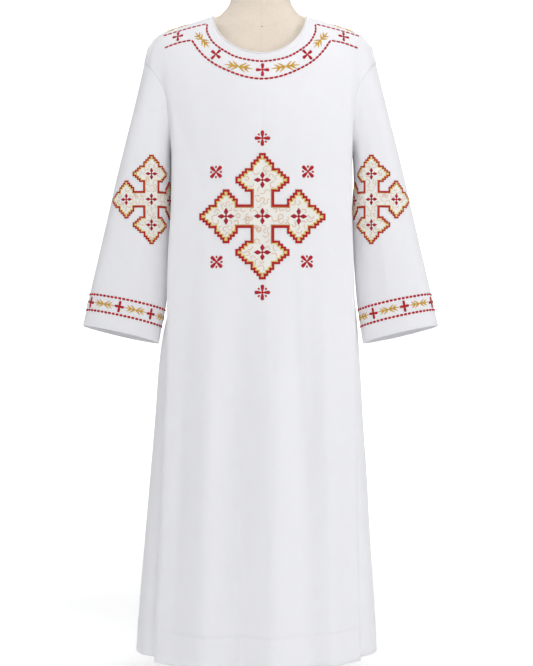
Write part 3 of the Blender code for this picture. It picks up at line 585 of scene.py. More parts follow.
for panel, node in ((frontPanel, "front_panel"), (backPanel, "back_panel")):
    addCloth(node, panel.name, panelColumns(panel), bodyRows, partial(panelSpot, panel),
             ((0, panel.way * 0.15, 0.8), (0, panel.way, 0)))
for side, word in sideNames.items():
    addCloth("gore_" + word, "gore" + word.title(), gridLines(cut["goreSteps"]), goreRows,
             partial(goreSpot, side), ((side * 0.22, 0, 0.6), (side, 0, 0)))
    addCloth("sleeve_" + word, "sleeve" + word.title(), gridLines(2 * halfRing), sleeveRows,
             partial(sleeveRowSpot, side), ((side * 0.34, 0, 1.0), (side, 0, 0)), ring=True)


# where sewing lies on the cloth
def surfaceOf(piece):
    bm = bmesh.new()
    bm.from_mesh(piece.data)
    tree = BVHTree.FromBMesh(bm)
    bm.free()
    return tree


clothTrees = {name: surfaceOf(piece) for name, piece in bodyPieces.items()}


class Seat:     # a place on a piece of cloth, with its outward way
    def __init__(self, cloth, near):
        self.cloth = cloth
        self.place, self.normal, _, _ = clothTrees[cloth].find_nearest(Vector(near))

    def flat(self, way):        # a direction laid along the cloth here
        return (way - self.normal * way.dot(self.normal)).normalized()


def seenFrom(way, cloth, x, z, far=0.6):        # the first place met from the front (-1) or the back (1)
    return clothTrees[cloth].ray_cast(Vector((x, way * far, z)), Vector((0, -way, 0)))[0]


def panelSeat(panel, x, z):
    return Seat(panel.name, seenFrom(panel.way, panel.name, x, z) or (x, panel.way * 0.02, z))


def sleeveSeat(side, across, way):      # in grid steps round the sleeve, and its share down it
    return Seat("sleeve" + sideNames[side].title(), sleeveSpot(side, across, way))


def curvePoints(points, steps=10):      # a smooth line through points
    points = [np.array(point, dtype=float) for point in points]
    padded = [2 * points[0] - points[1]] + points + [2 * points[-1] - points[-2]]
    made = []
    for before, start, end, after in zip(padded, padded[1:], padded[2:], padded[3:]):
        bend, twist = 2 * before - 5 * start + 4 * end - after, 3 * start - before - 3 * end + after
        for step in range(steps):
            t = step / steps
            made.append(0.5 * (2 * start + (end - before) * t + bend * t ** 2 + twist * t ** 3))
    return made + [points[-1]]


class Path:     # a line over the cloth, read by its length
    def __init__(self, seats):
        self.cloth = seats[0].cloth
        self.places = np.array([seat.place for seat in seats])
        self.lengths = runLengths(self.places)
        self.length = float(self.lengths[-1])

    def at(self, far):
        return Vector([np.interp(far, self.lengths, self.places[:, i]) for i in range(3)])

    def walk(self, pitch, start=0.5):       # evenly spaced seats, with the way on
        count = max(int(round(self.length / pitch)), 1)
        for step in range(count):
            far = (step + start) * self.length / count
            yield Seat(self.cloth, self.at(far)), self.at(far + pitch * 0.3) - self.at(far - pitch * 0.3)


# stitches
def stitchForm():       # one crowned closed form, copied for every stitch
    bm = bmesh.new()
    bmesh.ops.create_uvsphere(bm, u_segments=8, v_segments=6, radius=1.0)
    mesh = bpy.data.meshes.new("stitchForm")
    bm.to_mesh(mesh)
    bm.free()
    return mesh


stitchMesh = stitchForm()
stitchVerts = np.array([vert.co for vert in stitchMesh.vertices])


def stitch(seat, along, size, taper=0.0, drop=0.0, rise=0.0):
    # size is length, width, height; taper 1 makes a lozenge, drop a fuller far end, rise lifts it up
    return SimpleNamespace(seat=seat, along=seat.flat(along), size=size, taper=taper, drop=drop, rise=rise)


def stitchBetween(cloth, start, end, width, height, taper=0.0, drop=0.0, rise=0.0):
    way = Seat(cloth, end).place - Seat(cloth, start).place
    return stitch(Seat(cloth, (start + end) / 2), way, (way.length, width, height), taper, drop, rise)


def stitchPlaces(one):      # each point of the form stands over the cloth under it
    length, width, height = one.size
    across = one.seat.normal.cross(one.along)
    x, y, way = stitchVerts.T
    radius = np.hypot(x, y)
    thick = (np.sqrt(radius) * (1 - one.taper) + (1 - abs(way)) * one.taper) * (1 + one.drop * way)
    share = thick / np.maximum(radius, 0.001) * (radius > 0.001)
    flat = np.array(one.seat.place) + np.outer(way * length / 2, one.along)
    flat += np.outer(x * share * width / 2, across)
    made = []
    for near, lift in zip(flat, y * share * height):
        under = Seat(one.seat.cloth, near)
        made.append(under.place + under.normal * (one.rise + lift))
    return made


def stitchPiece(name, stitches, material):
    bm = bmesh.new()
    for _ in stitches:
        bm.from_mesh(stitchMesh)
    places = [place for one in stitches for place in stitchPlaces(one)]
    for vert, place in zip(bm.verts, places):
        vert.co = place
    return finishPiece(name, bm, [material])


def cordPiece(name, paths, radius, material, closed=False):       # thin round cords along paths
    curve = bpy.data.curves.new(name, "CURVE")
    curve.dimensions = "3D"
    curve.bevel_depth = radius
    curve.bevel_resolution = 1
    curve.use_fill_caps = True
    for path in paths:
        spline = curve.splines.new("POLY")
        spline.points.add(len(path) - 1)
        for target, place in zip(spline.points, path):
            target.co = (*place, 1)
        spline.use_cyclic_u = closed
    holder = bpy.data.objects.new(name + "Line", curve)
    bpy.context.scene.collection.objects.link(holder)
    bpy.context.view_layer.update()
    mesh = bpy.data.meshes.new_from_object(holder.evaluated_get(bpy.context.evaluated_depsgraph_get()))
    bpy.data.objects.remove(holder)
    bpy.data.curves.remove(curve)
    bm = bmesh.new()
    bm.from_mesh(mesh)
    bpy.data.meshes.remove(mesh)
    bmesh.ops.remove_doubles(bm, verts=bm.verts, dist=0.000001)
    bmesh.ops.recalc_face_normals(bm, faces=bm.faces)
    return finishPiece(name, bm, [material])


# the dress form: a padded body under linen, a turned cap and a steel stand, as the solids have them
formSizes = SizeTable(
    "z halfWidth power front back",
    (0.760, 0.165, 2.2, 0.108, 0.106),
    (0.850, 0.169, 2.3, 0.112, 0.108),
    (0.930, 0.158, 2.3, 0.108, 0.100),
    (1.030, 0.139, 2.3, 0.104, 0.092),
    (1.130, 0.158, 2.5, 0.112, 0.104),
    (1.200, 0.170, 3.0, 0.114, 0.106),
    (1.280, 0.182, 4.5, 0.115, 0.107),
    (1.340, 0.188, 7.0, 0.112, 0.104),
    (1.380, 0.193, 10.0, 0.101, 0.097),
    (1.480, 0.195, 12.0, 0.076, 0.086),
)
neckSizes = SizeTable(
    "z halfWidth depth",
    (1.380, 0.120, 0.060),
    (1.420, 0.112, 0.060),
    (1.437, 0.094, 0.058),
    (1.446, 0.086, 0.058),
    (1.456, 0.077, 0.058),
    (1.468, 0.068, 0.059),
    (1.482, 0.0637, 0.058),
    (1.520, 0.0630, 0.058),
)
form = {"foot": 0.760, "top": 1.520, "neckY": -0.004, "neckFootZ": 1.30, "gap": 0.0011, "sides": 72,
        "halvings": 17, "footRound": 0.006, "footInset": 0.036, "footRings": (0.0, 0.0008, 0.0025, 0.006),
        "rings": ((0.785, 1.355, 24), (1.365, 1.520, 42)),      # from z to z, and how many
        "flow": 0.046, "flowTurn": (0.35, 0.4),     # how the neck flows into the chest, at the front
        "neckSeam": (0.0717, 1.446, 1.410), "seamFoot": 0.78, "seamRadius": 0.0003,
        "knot": (0.0030, 0.0026, 0.0012), "girthRadius": 0.14, "capGap": 0.0003,
        "capRings": ((0.0, 1.0), (0.0010, 1.03), (0.0078, 1.03), (0.0105, 1.005), (0.0130, 0.955),
                     (0.0152, 0.85), (0.0166, 0.66), (0.0170, 0.40))}


def insideNeck(x, y, neck):
    return (x / neck.halfWidth) ** 2 + ((y - form["neckY"]) / neck.depth) ** 2 < 1


def insideBody(x, y, z, body, row):
    across = abs(x) / body.halfWidth
    if across >= 1:
        return False
    panel = frontPanel if y < 0 else backPanel
    middle, edge = getattr(row, panel.middle), getattr(row, panel.edge)
    depth = edge + (middle - edge) * (1 - (abs(x) / row.foldX) ** cut["facePower"])
    depth *= getattr(body, panel.middle) / middle * (1 - across ** body.power) ** (1 / body.power)
    return abs(y) < depth * shoulderRound(panel, x, z + cut["cloth"] + form["gap"])


def farthest(turn, inside):     # how far out from the middle a section reaches
    near, far = 0.0, 0.3
    for _ in range(form["halvings"]):
        middle = (near + far) / 2
        if inside(middle * math.cos(turn), middle * math.sin(turn)):
            near = middle
        else:
            far = middle
    return near


def formRing(z, share=1.0):     # a section of the form, its neck flowing into its chest
    neck, body, row = neckSizes.at(z), formSizes.at(z), bodySizes.at(cut["underarmZ"])
    ring = []
    for step in range(form["sides"]):
        turn = 2 * math.pi * step / form["sides"]
        reach = farthest(turn, lambda x, y: insideBody(x, y, z, body, row))
        if z >= form["neckFootZ"]:
            neckReach = farthest(turn, lambda x, y: insideNeck(x, y, neck))
            flow = form["flow"] * ease((-math.sin(turn) - form["flowTurn"][0]) / form["flowTurn"][1])
            blend = max(flow - abs(reach - neckReach), 0) ** 2 / (4 * flow) if flow > 0 else 0
            reach = max(reach, neckReach) + blend
        reach *= share
        ring.append(leaned(spot(reach * math.cos(turn), reach * math.sin(turn), z)))
    return ring


def roundPiece(name, rings, material):        # closed rings, grown one from the other by extrusion
    bm = bmesh.new()
    uvLayer = bm.loops.layers.uv.new("round")
    made = bmesh.ops.create_circle(bm, cap_ends=True, segments=len(rings[0]), radius=1.0)
    order = sorted(made["verts"], key=lambda vert: math.atan2(vert.co.y, vert.co.x) % (2 * math.pi - 0.0001))
    for vert, place in zip(order, rings[0]):
        vert.co = place
    edges = bm.edges[:]
    for ring in rings[1:]:
        places = {tuple(vert.co): place for vert, place in zip(order, ring)}
        made = bmesh.ops.extrude_edge_only(bm, edges=edges)["geom"]
        edges = kindOf(made, bmesh.types.BMEdge)
        rank = {tuple(vert.co): i for i, vert in enumerate(order)}
        order = sorted(kindOf(made, bmesh.types.BMVert), key=lambda vert: rank[tuple(vert.co)])
        for vert in order:
            vert.co = places[tuple(vert.co)]
    bmesh.ops.holes_fill(bm, edges=edges, sides=0)
    bmesh.ops.recalc_face_normals(bm, faces=bm.faces)
    for face in bm.faces:       # metres round the middle and up
        turns = [math.atan2(loop.vert.co.y, loop.vert.co.x) for loop in face.loops]
        for loop, turn in zip(face.loops, turns):
            if turn - turns[0] > math.pi:
                turn -= 2 * math.pi
            elif turns[0] - turn > math.pi:
                turn += 2 * math.pi
            loop[uvLayer].uv = (turn * form["girthRadius"], loop.vert.co.z)
    return finishPiece(name, bm, [material])


# the seam's shade darkens the seam cords' linen as painted shade of the seams' ditches; the knot's shade is
# its own dark colour
linenLook = {"tones": ((0.700, 0.590, 0.475), (0.960, 0.870, 0.765)), "pitch": 0.0012,
             "seamPaintedShade": 0.86, "knotShade": 0.45}


def linen(name, shade=1.0):     # cream linen, its threads uneven and slubbed both ways
    paint = Paint(name, **{"Sheen Weight": 0.10, "Sheen Roughness": 0.5, "Specular IOR Level": 0.25})
    uv = paint.at("UV")
    place = paint.at("Object")
    u, v, _ = paint.parts(uv)
    pitch = 2 * math.pi / linenLook["pitch"]
    weave = (u * pitch).sine() * (v * pitch).sine()
    upright = paint.noise(paint.stretched(uv, (900, 40, 1)), 1.0, 2.0, 0.6)
    level = paint.noise(paint.stretched(uv, (40, 900, 1)), 1.0, 2.0, 0.6)
    cloudy = paint.noise(place, 14.0, 3.0, 0.55)
    tone = (weave * 0.12 + upright * 0.45 + level * 0.45 + cloudy * 0.35 - 0.14).held()
    height = weave * 0.4 + upright * 0.3 + level * 0.3
    low, high = (tuple(part * shade for part in colour) for colour in linenLook["tones"])
    return paint.feed(Base_Color=paint.colours(tone, low, high),
                      Roughness=cloudy * 0.1 + 0.80, Normal=paint.raised(height, 0.0004, 0.6))


def turnedWood():       # beech turned on a lathe, with its grain running through it
    paint = Paint("turnedWood", **{"Coat Weight": 0.35, "Coat Roughness": 0.22})
    place = paint.at("Object")
    warp = paint.noise(place, 9.0, 2.0, 0.5)
    _, y, z = paint.parts(place)
    rings = ((y * 620.0 + z * 260.0 + warp * 26.0).sine() + 1.0) * 0.5
    pores = paint.noise(paint.stretched(place, (26, 420, 420)), 1.0, 3.0, 0.6)
    tone = (rings * 0.55 + pores * 0.45).held()
    return paint.feed(Base_Color=paint.colours(tone, (0.30, 0.165, 0.075), (0.50, 0.31, 0.165)),
                      Roughness=pores * 0.25 + 0.32, Normal=paint.raised(pores, 0.0003, 0.4))


def brushedSteel():     # turned steel, its fine scratches running round
    paint = Paint("brushedSteel", **{"Metallic": 1.0})
    place = paint.at("Object")
    x, y, z = paint.parts(place)
    radius = (x * x + y * y).root()
    scratches = paint.noise(paint.joined(radius * 2600.0, z * 2600.0, 0.0), 1.0, 2.0, 0.7)
    stain = paint.noise(place, 16.0, 4.0, 0.6)
    tone = (scratches * 0.5 + stain * 0.5).held()
    return paint.feed(Base_Color=paint.colours(tone, (0.44, 0.44, 0.45), (0.70, 0.70, 0.71)),
                      Roughness=stain * 0.18 + scratches * 0.16 + 0.18,
                      Normal=paint.raised(scratches, 0.00008, 0.5))


def roundedCylinder(radius, low, high, rim, sides=96, steps=3):
    bm = bmesh.new()
    bmesh.ops.create_cone(bm, cap_ends=True, segments=sides, radius1=radius, radius2=radius, depth=high - low)
    bmesh.ops.translate(bm, verts=bm.verts, vec=(0, 0, (low + high) / 2))
    rims = [edge for edge in bm.edges if abs(edge.verts[0].co.z - edge.verts[1].co.z) < 0.00001]
    bmesh.ops.bevel(bm, geom=rims, offset=rim, segments=steps, profile=0.5, affect="EDGES", material=-1)
    return bm


stand = {"poleRadius": 0.016, "poleRim": 0.0006, "baseRadius": 0.175, "baseThick": 0.008,
         "baseRim": 0.003, "gap": 0.0003,
         "collar": ((0.0163, 0.0300), (0.0232, 0.0300), (0.0240, 0.0292), (0.0240, 0.0150),
                    (0.0320, 0.0075), (0.0320, 0.0008), (0.0312, 0.0), (0.0163, 0.0)),
         "screw": (0.0030, 0.0062, 0.0222, 0.0004)}     # radius, length, height, rim


def addForm():
    heights = [form["foot"] + up for up in form["footRings"]]
    for low, high, count in form["rings"]:
        heights += list(np.linspace(low, high, count))
    rings = []
    for z in heights:
        under = clamp((form["footRound"] - (z - form["foot"])) / form["footRound"])
        rings.append(formRing(z, 1 - form["footInset"] * (1 - math.sqrt(1 - under * under))))
    body = roundPiece("formBody", rings, linen("creamLinen"))
    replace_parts(body, "form_torso")
    clothTrees["formBody"] = surfaceOf(body)
    top = neckSizes.at(form["top"])
    rings = []
    for high, share in form["capRings"]:
        turns = [2 * math.pi * step / form["sides"] for step in range(form["sides"])]
        rings.append([leaned(spot(share * top.halfWidth * math.cos(turn),
                                  form["neckY"] + share * top.depth * math.sin(turn),
                                  form["top"] + form["capGap"] + high)) for turn in turns])
    cap = roundPiece("formCap", rings, turnedWood())
    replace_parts(cap, "form_cap")


def addFormSeams():
    def seated(x, z, way):
        return seenFrom(way, "formBody", x, z, 0.4)

    heights = np.linspace(form["top"] - 0.001, form["seamFoot"], 150)
    lines = [[seated(0.0, z, way) for z in heights] for way in (-1, 1)]
    wide, sideZ, middleZ = form["neckSeam"]
    ring = []
    for way in (-1, 1):
        for step in range(41):
            x = -wide * math.cos(math.pi * step / 40)
            z = middleZ + (sideZ - middleZ) * (abs(x) / wide) ** 2 if way < 0 else sideZ
            ring.append(seated(-way * x, z, way))
    # the seam cords are real, but their linen is darkened as painted shade, standing for the shade in the
    # seams' ditches
    seamLinen = linen("seamLinen", linenLook["seamPaintedShade"])
    cordPiece("formSeams", lines, form["seamRadius"], seamLinen)
    ring = [place for place in ring if place]
    cordPiece("formNeckSeam", [ring], form["seamRadius"], seamLinen, closed=True)
    knot = Seat("formBody", seated(0.0, middleZ, -1))
    knotLinen = linen("knotLinen", linenLook["knotShade"])
    stitchPiece("formKnot", [stitch(knot, Vector((1, 0, 0)), form["knot"])], knotLinen)


def addStand():
    steel = brushedSteel()
    foot = stand["baseThick"] + stand["gap"]
    bm = roundedCylinder(stand["baseRadius"], 0.0, stand["baseThick"], stand["baseRim"])
    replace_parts(finishPiece("formBase", bm, [steel], 40), "form_base")
    bm = roundedCylinder(stand["poleRadius"], foot, form["foot"] - stand["gap"], stand["poleRim"])
    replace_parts(finishPiece("formPole", bm, [steel], 40), "form_pole")
    bm = bmesh.new()
    verts = [bm.verts.new((radius, 0, foot + high)) for radius, high in stand["collar"]]
    edges = [bm.edges.new((verts[i], verts[i - 1])) for i in range(len(verts))]
    bmesh.ops.spin(bm, geom=verts + edges, cent=(0, 0, 0), axis=(0, 0, 1), angle=2 * math.pi, steps=72,
                   use_merge=True)
    bmesh.ops.recalc_face_normals(bm, faces=bm.faces)
    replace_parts(finishPiece("formCollar", bm, [steel], 30), "form_collar")
    radius, reach, high, rim = stand["screw"]
    bm = roundedCylinder(radius, -reach / 2, reach / 2, rim, 24, 2)
    bmesh.ops.rotate(bm, verts=bm.verts, cent=(0, 0, 0), matrix=Matrix.Rotation(math.pi / 2, 3, "X"))
    neckRadius = stand["collar"][2][0]
    bmesh.ops.translate(bm, verts=bm.verts, vec=(0, -neckRadius - reach * 0.3, foot + high))
    finishPiece("collarScrew", bm, [steel], 40)


addForm()
addFormSeams()
addStand()
print("dress form and stand made")


def declareSheets():        # works out the size each piece was cut to, with what is turned under at its hem or cuff, and keeps none of it
    for name, piece in bodyPieces.items():
        width, length, hemWidth = flatSizes[name]
        turned = sleeveCut["cuffTurn"] if name.startswith("sleeve") else cut["hemDepth"]
        round(length + turned, 3)
        round(measuredArea(piece) + hemWidth * turned, 4)


declareSheets()


# threads
def thread(name, dark, light, roughness, pitch=0.0007):
    paint = Paint(name, **{"Sheen Weight": 0.04, "Sheen Roughness": 0.4, "Specular IOR Level": 0.35})
    place = paint.at("Object")
    x, y, z = paint.parts(place)
    strand = ((x + z * 0.8 + y * 0.6) * (2 * math.pi / pitch)).sine()
    cloudy = paint.noise(place, 130.0, 2.0, 0.6)
    tone = (strand * 0.25 + cloudy * 0.9 + 0.05).held()
    return paint.feed(Base_Color=paint.colours(tone, dark, light), Roughness=cloudy * 0.2 + (roughness - 0.1),
                      Normal=paint.raised(strand, 0.00018, 0.5))


threads = {
    "red": thread("redThread", (0.34, 0.000, 0.005), (0.56, 0.001, 0.010), 0.5),
    "deepRed": thread("deepRedThread", (0.30, 0.000, 0.010), (0.48, 0.001, 0.022), 0.5),
    "gold": thread("goldThread", (0.50, 0.25, 0.010), (0.80, 0.49, 0.040), 0.45),
    "amber": thread("amberThread", (0.42, 0.10, 0.008), (0.62, 0.22, 0.020), 0.5),
    "edgeGold": thread("edgeGoldThread", (0.66, 0.44, 0.050), (0.90, 0.78, 0.260), 0.45),
    "scroll": thread("scrollThread", (0.62, 0.36, 0.20), (0.84, 0.58, 0.38), 0.5),
    "ground": thread("groundThread", (0.84, 0.825, 0.77), (0.93, 0.92, 0.88), 0.6, 0.0011),
    "white": thread("whiteThread", (0.80, 0.80, 0.82), (0.90, 0.90, 0.92), 0.6),
}
print("threads made")

# seams and edges
seams = {"radius": 0.0007, "neckRadius": 0.0016}


def addSeams():
    lines = [[ringSpot(side, step / 4) for step in range(-4 * halfRing, 4 * halfRing)] for side in sideNames]
    cordPiece("armholeSeams", lines, seams["radius"], whiteClothMaterial, closed=True)
    lines = []
    for side in sideNames:
        for column in (0, cut["goreSteps"]):
            lines.append([goreSpot(side, column, row / 4) for row in range(4 * cut["lowerRows"] + 1)])
        line = []
        for step in range(41):
            x = mix(cut["neckHalfWidth"], armholeSizes.at(0).x, step / 40)
            line.append(leaned(spot(side * x, 0, ridgeSizes.at(x).z)))
        lines.append(line)
    cordPiece("sideAndShoulderSeams", lines, seams["radius"], whiteClothMaterial)
    first = cut["edgeSteps"] + cut["shoulderSteps"]
    ring = []
    for panel in (frontPanel, backPanel):
        line = [panelSpot(panel, first + step / 4, 0) for step in range(panel.neckSteps * 4 + 1)]
        ring += line if panel is frontPanel else line[::-1][1:-1]
    cordPiece("neckEdge", [ring], seams["neckRadius"], whiteClothMaterial, closed=True)


addSeams()
print("seams made")

topstitch = {"pitch": 0.0045, "size": (0.0031, 0.0009, 0.0005), "neckIn": 0.0085, "neckDown": 0.002,
             "neckEnds": (0.02, 0.98), "hemUp": 0.0015, "cuffUp": 0.0055}
wholeRing = [step / 4 for step in range(-4 * halfRing, 4 * halfRing + 1)]


def addTopstitch():     # neckline, hem and cuffs, in white
    paths = []
    hemRow = lowerRow(hemTop + topstitch["hemUp"])
    for panel in (frontPanel, backPanel):
        line = []
        for turn in np.pi * np.linspace(*topstitch["neckEnds"], 121):
            x = -(cut["neckHalfWidth"] + topstitch["neckIn"]) * math.cos(turn)
            drop = (panel.neckDrop + topstitch["neckIn"]) * math.sin(turn)
            z = cut["neckPointZ"] - topstitch["neckDown"] - drop
            line.append(panelSeat(panel, x + cut["shoulderLean"] * ease(abs(x) / cut["neckHalfWidth"]), z))
        paths.append(Path(line))
        line = [panelSpot(panel, column, cut["upperRows"] + hemRow) for column in panelColumns(panel)]
        paths.append(Path([Seat(panel.name, place) for place in line]))
    for side, word in sideNames.items():
        line = [goreSpot(side, column, hemRow) for column in gridLines(cut["goreSteps"])]
        paths.append(Path([Seat("gore" + word.title(), place) for place in line]))
        way = 1 - topstitch["cuffUp"] / sleeveCut["length"]
        paths.append(Path([sleeveSeat(side, across, way) for across in wholeRing]))
    stitches = []
    for path in paths:
        stitches += [stitch(seat, along, topstitch["size"]) for seat, along in path.walk(topstitch["pitch"])]
    stitchPiece("topstitching", stitches, threads["white"])


addTopstitch()
print("topstitching made")

# the embroidered neck band, half of it: places x, z from the middle outwards
neckBand = {
    "middle": 0.0003, "lean": (0.4, 0.03, 0.1),     # share of the shoulders' lean, from x over x
    "frontInner": ((0, 1.3315), (0.0297, 1.3355), (0.0556, 1.3430), (0.0812, 1.3588), (0.1020, 1.3775),
                   (0.1143, 1.4019), (0.1152, 1.4215)),
    "frontOuter": ((0, 1.2935), (0.0365, 1.2989), (0.0745, 1.3144), (0.1066, 1.3344), (0.1295, 1.3580),
                   (0.1470, 1.3850)),
    "shoulderUpper": ((0.1170, 1.4222), (0.1610, 1.4130), (0.2100, 1.4008)),
    "shoulderLower": ((0.1490, 1.3850), (0.1752, 1.3813), (0.2060, 1.3722)),
    "backInner": ((0, 1.4125), (0.0400, 1.4135), (0.0800, 1.4165), (0.1130, 1.4195)),
    "backOuter": ((0, 1.3750), (0.0500, 1.3760), (0.1000, 1.3790), (0.1450, 1.3840)),
    "innerPitch": 0.0090, "outerPitch": 0.0105, "dashShare": 0.90, "dashWidth": 0.0046,
    "dashHeight": 0.0015, "upperWidth": 0.85,       # its share, in the shoulders' upper rows
    # x, z and reach of the upright cross, then of the slanted ones at each side
    "frontCrosses": ((0.0014, 1.3128, 0.0145), (0.0959, 1.3492, 0.0140)),
    "backCrosses": ((0.0, 1.3940, 0.0125), (0.0930, 1.3965, 0.0115)),
    # x, its shift to the right, z, the way along at the right, length
    "frontSprigs": ((0.0492, 0.0006, 1.3207, (1, 0.24), 0.061),
                    (0.1257, -0.0008, 1.3849, (0.62, 0.80), 0.056)),
    "backSprigs": ((0.0480, 0.0, 1.3942, (1, 0.02), 0.054),),
    "crossShift": -0.0005, "shoulderCross": (0.1766, -0.0024, 1.3965, 0.16, 0.0125),
    "shoulderSprig": (0.1790, -0.006, 0.33, 0.056),     # x, y, its fall, length
}
drops = {"start": 0.12, "width": 0.40, "height": 0.0015, "taper": 0.10, "fuller": 0.75}
needles = {"waist": 0.06, "tip": 1.04, "taper": 0.3, "spineDrop": -0.35, "drop": -0.55,
           "roots": (0.04, 0.36), "reaches": (0.60, 0.52), "leans": (37, 34), "width": 0.0036,
           "spineWidth": 0.0040, "height": 0.0012, "length": 0.061}


def bandPath(panel, half, side=0):      # both halves of a row, or one side's
    points = [(x * (side or 1), z) for x, z in half]
    if not side:
        points = [(-x, z) for x, z in half][:0:-1] + points
    share, start, over = neckBand["lean"]
    line = []
    for x, z in curvePoints(points):
        lean = cut["shoulderLean"] * share * ease((abs(x) - start) / over)
        line.append(panelSeat(panel, x + neckBand["middle"] + lean, z))
    return Path(line)


def dashes(path, pitch, widthShare=1.0, share=neckBand["dashShare"]):
    size = (pitch * share, neckBand["dashWidth"] * widthShare, neckBand["dashHeight"])
    return [stitch(seat, along, size) for seat, along in path.walk(pitch)]


def dropCross(seat, up, tall, broad=None, width=None, fuller=drops["fuller"]):
    up = seat.flat(up)
    out = up.cross(seat.normal)
    made = []
    for way, reach in ((up, tall), (-up, tall), (out, broad or tall), (-out, broad or tall)):
        start, end = seat.place - way * reach * drops["start"], seat.place + way * reach
        made.append(stitchBetween(seat.cloth, start, end, width or tall * drops["width"], drops["height"],
                                  drops["taper"], fuller))
    return made


def sprig(seat, along, length):     # two small branches joined at a waist
    along = seat.flat(along)
    out = seat.normal.cross(along)
    half = length / 2
    scale = length / needles["length"]
    made = []
    for way in (along, -along):
        start, tip = seat.place - way * half * needles["waist"], seat.place + way * half * needles["tip"]
        made.append(stitchBetween(seat.cloth, start, tip, needles["spineWidth"] * scale, needles["height"],
                                  needles["taper"], needles["spineDrop"]))
        for root, reach, lean in zip(needles["roots"], needles["reaches"], needles["leans"]):
            lean = math.radians(lean)
            for sign in (1, -1):
                start = seat.place + way * (half * root)
                tip = start + (way * math.cos(lean) + out * (sign * math.sin(lean))) * (half * reach)
                made.append(stitchBetween(seat.cloth, start, tip, needles["width"] * scale, needles["height"],
                                          needles["taper"], needles["drop"]))
    return made


def addNeckBand():
    red, gold = [], []
    for panel, word in ((frontPanel, "front"), (backPanel, "back")):
        red += dashes(bandPath(panel, neckBand[word + "Inner"]), neckBand["innerPitch"])
        red += dashes(bandPath(panel, neckBand[word + "Outer"]), neckBand["outerPitch"])
        upright, slanted = neckBand[word + "Crosses"]
        red += dropCross(panelSeat(panel, *upright[:2]), Vector((0, 0, 1)), upright[2])
        for side in sideNames:
            red += dashes(bandPath(panel, neckBand["shoulderUpper"], side), neckBand["outerPitch"],
                          neckBand["upperWidth"])
            red += dashes(bandPath(panel, neckBand["shoulderLower"], side), neckBand["outerPitch"])
            x, shift, z, lean, reach = neckBand["shoulderCross"]
            red += dropCross(panelSeat(panel, side * x + shift, z), Vector((side * lean, 0, 1)), reach)
            x, z, reach = slanted
            seat = panelSeat(panel, side * x + neckBand["crossShift"], z)
            red += dropCross(seat, Vector((side, 0, 1)), reach)
            for x, shift, z, (along, rise), length in neckBand[word + "Sprigs"]:
                seat = panelSeat(panel, side * x + shift, z)
                gold += sprig(seat, Vector((along, 0, side * rise)), length)
    for side in sideNames:
        x, y, fall, length = neckBand["shoulderSprig"]
        seat = Seat(frontPanel.name, spot(side * x + cut["shoulderLean"], y, ridgeSizes.at(x).z))
        gold += sprig(seat, Vector((1, 0, -side * fall)), length)
    stitchPiece("neckBandRed", red, threads["red"])
    stitchPiece("neckBandGold", gold, threads["gold"])


addNeckBand()
print("neck band made")

# the embroidered cuff bands; ways are shares down the sleeve, at its outer and its inner side
cuffBand = {"upperWays": (0.882, 0.857), "middleWays": (0.9115, 0.8935), "lowerWays": (0.940, 0.930),
            "pitch": 0.0086, "dashShare": 0.82, "firstCrossX": 0.3007, "repeat": 0.0745, "tall": 0.0124,
            "broad": 0.0104, "armWidth": 0.0056, "fuller": 0.25, "dashWidth": 1.1, "sprig": 0.049,
            "ahead": 0.004}     # how far along the band a sprig takes its way from


def cuffPath(side, ways):
    line = []
    for across in wholeRing:
        inner = (1 - math.cos(math.pi * across / halfRing)) / 2
        line.append(sleeveSeat(side, across, mix(*ways, inner)))
    return Path(line)


def addCuffBands():
    red, gold = [], []
    for side in sideNames:
        for ways in (cuffBand["upperWays"], cuffBand["lowerWays"]):
            path = cuffPath(side, ways)
            red += dashes(path, cuffBand["pitch"], cuffBand["dashWidth"], cuffBand["dashShare"])
        path = cuffPath(side, cuffBand["middleWays"])
        half = len(wholeRing) // 2
        outward = side * path.places[half:, 0]
        first = float(np.interp(-cuffBand["firstCrossX"], -outward, path.lengths[half:]))
        count = int(round(path.length / cuffBand["repeat"]))
        down = Vector(sleeveSpot(side, halfRing / 2, 1.0) - sleeveSpot(side, halfRing / 2, 0.8))
        for step in range(2 * count):
            far = (first + step * path.length / count / 2) % path.length
            seat = Seat(path.cloth, path.at(far))
            if step % 2:
                ahead = path.at((far + cuffBand["ahead"]) % path.length)
                gold += sprig(seat, ahead - path.at(far), cuffBand["sprig"])
            else:
                red += dropCross(seat, down, cuffBand["tall"], cuffBand["broad"], cuffBand["armWidth"],
                                 cuffBand["fuller"])
    stitchPiece("cuffBandsRed", red, threads["red"])
    stitchPiece("cuffBandsGold", gold, threads["gold"])


addCuffBands()
print("cuff bands made")

# the applique crosses, in units of one step of their edge
cross = {
    "lobe": 12.25, "bar": 4.0, "steps": ((4.0, 6.0), (3.0, 7.0), (2.0, 8.0), (1.2, 9.15)),
    "chestUnit": 0.00612, "chestX": 0.0012, "chestZ": 1.006,
    "sleeveUnit": 0.00441, "sleeveXs": {leftSide: 0.230, rightSide: 0.234}, "sleeveZ": 1.047,
    "edgeHeight": 0.0006,
    "rings": ((0.15, 0.0016, 0), (0.50, 0.0018, 0), (0.12, 0.0010, 0), (0.10, 0.0012, 1), (0.22, 0.0013, 2),
              (0.06, 0.0009, 2)),       # width inwards, height at its inner edge, which thread
    "borderRings": 3, "tooth": (1.0, 0.62, 0.0009), "toothForm": (0.3, -0.5), "cuts": (1.0, 2.0),
    "wall": 0.0005, "petal": (2.6, 1.65, 0.0010), "petalOut": 1.58, "petalTaper": 0.85, "eye": 0.9,
    "scrollRadius": 0.00075, "scrollStep": 0.24, "scrollGap": 0.60, "scrollTries": 2200, "scrollReach": 60,
    "scrollBends": (0.22, 0.38), "scrollTurns": (8, 17), "scrollChange": (0.7, 1.3), "scrollLeast": 8,
    "scrollMargin": 1.35, "petalRoom": (0.85, 2.9), "heights": (0.8, 1.0),     # of sewing, small and large
}


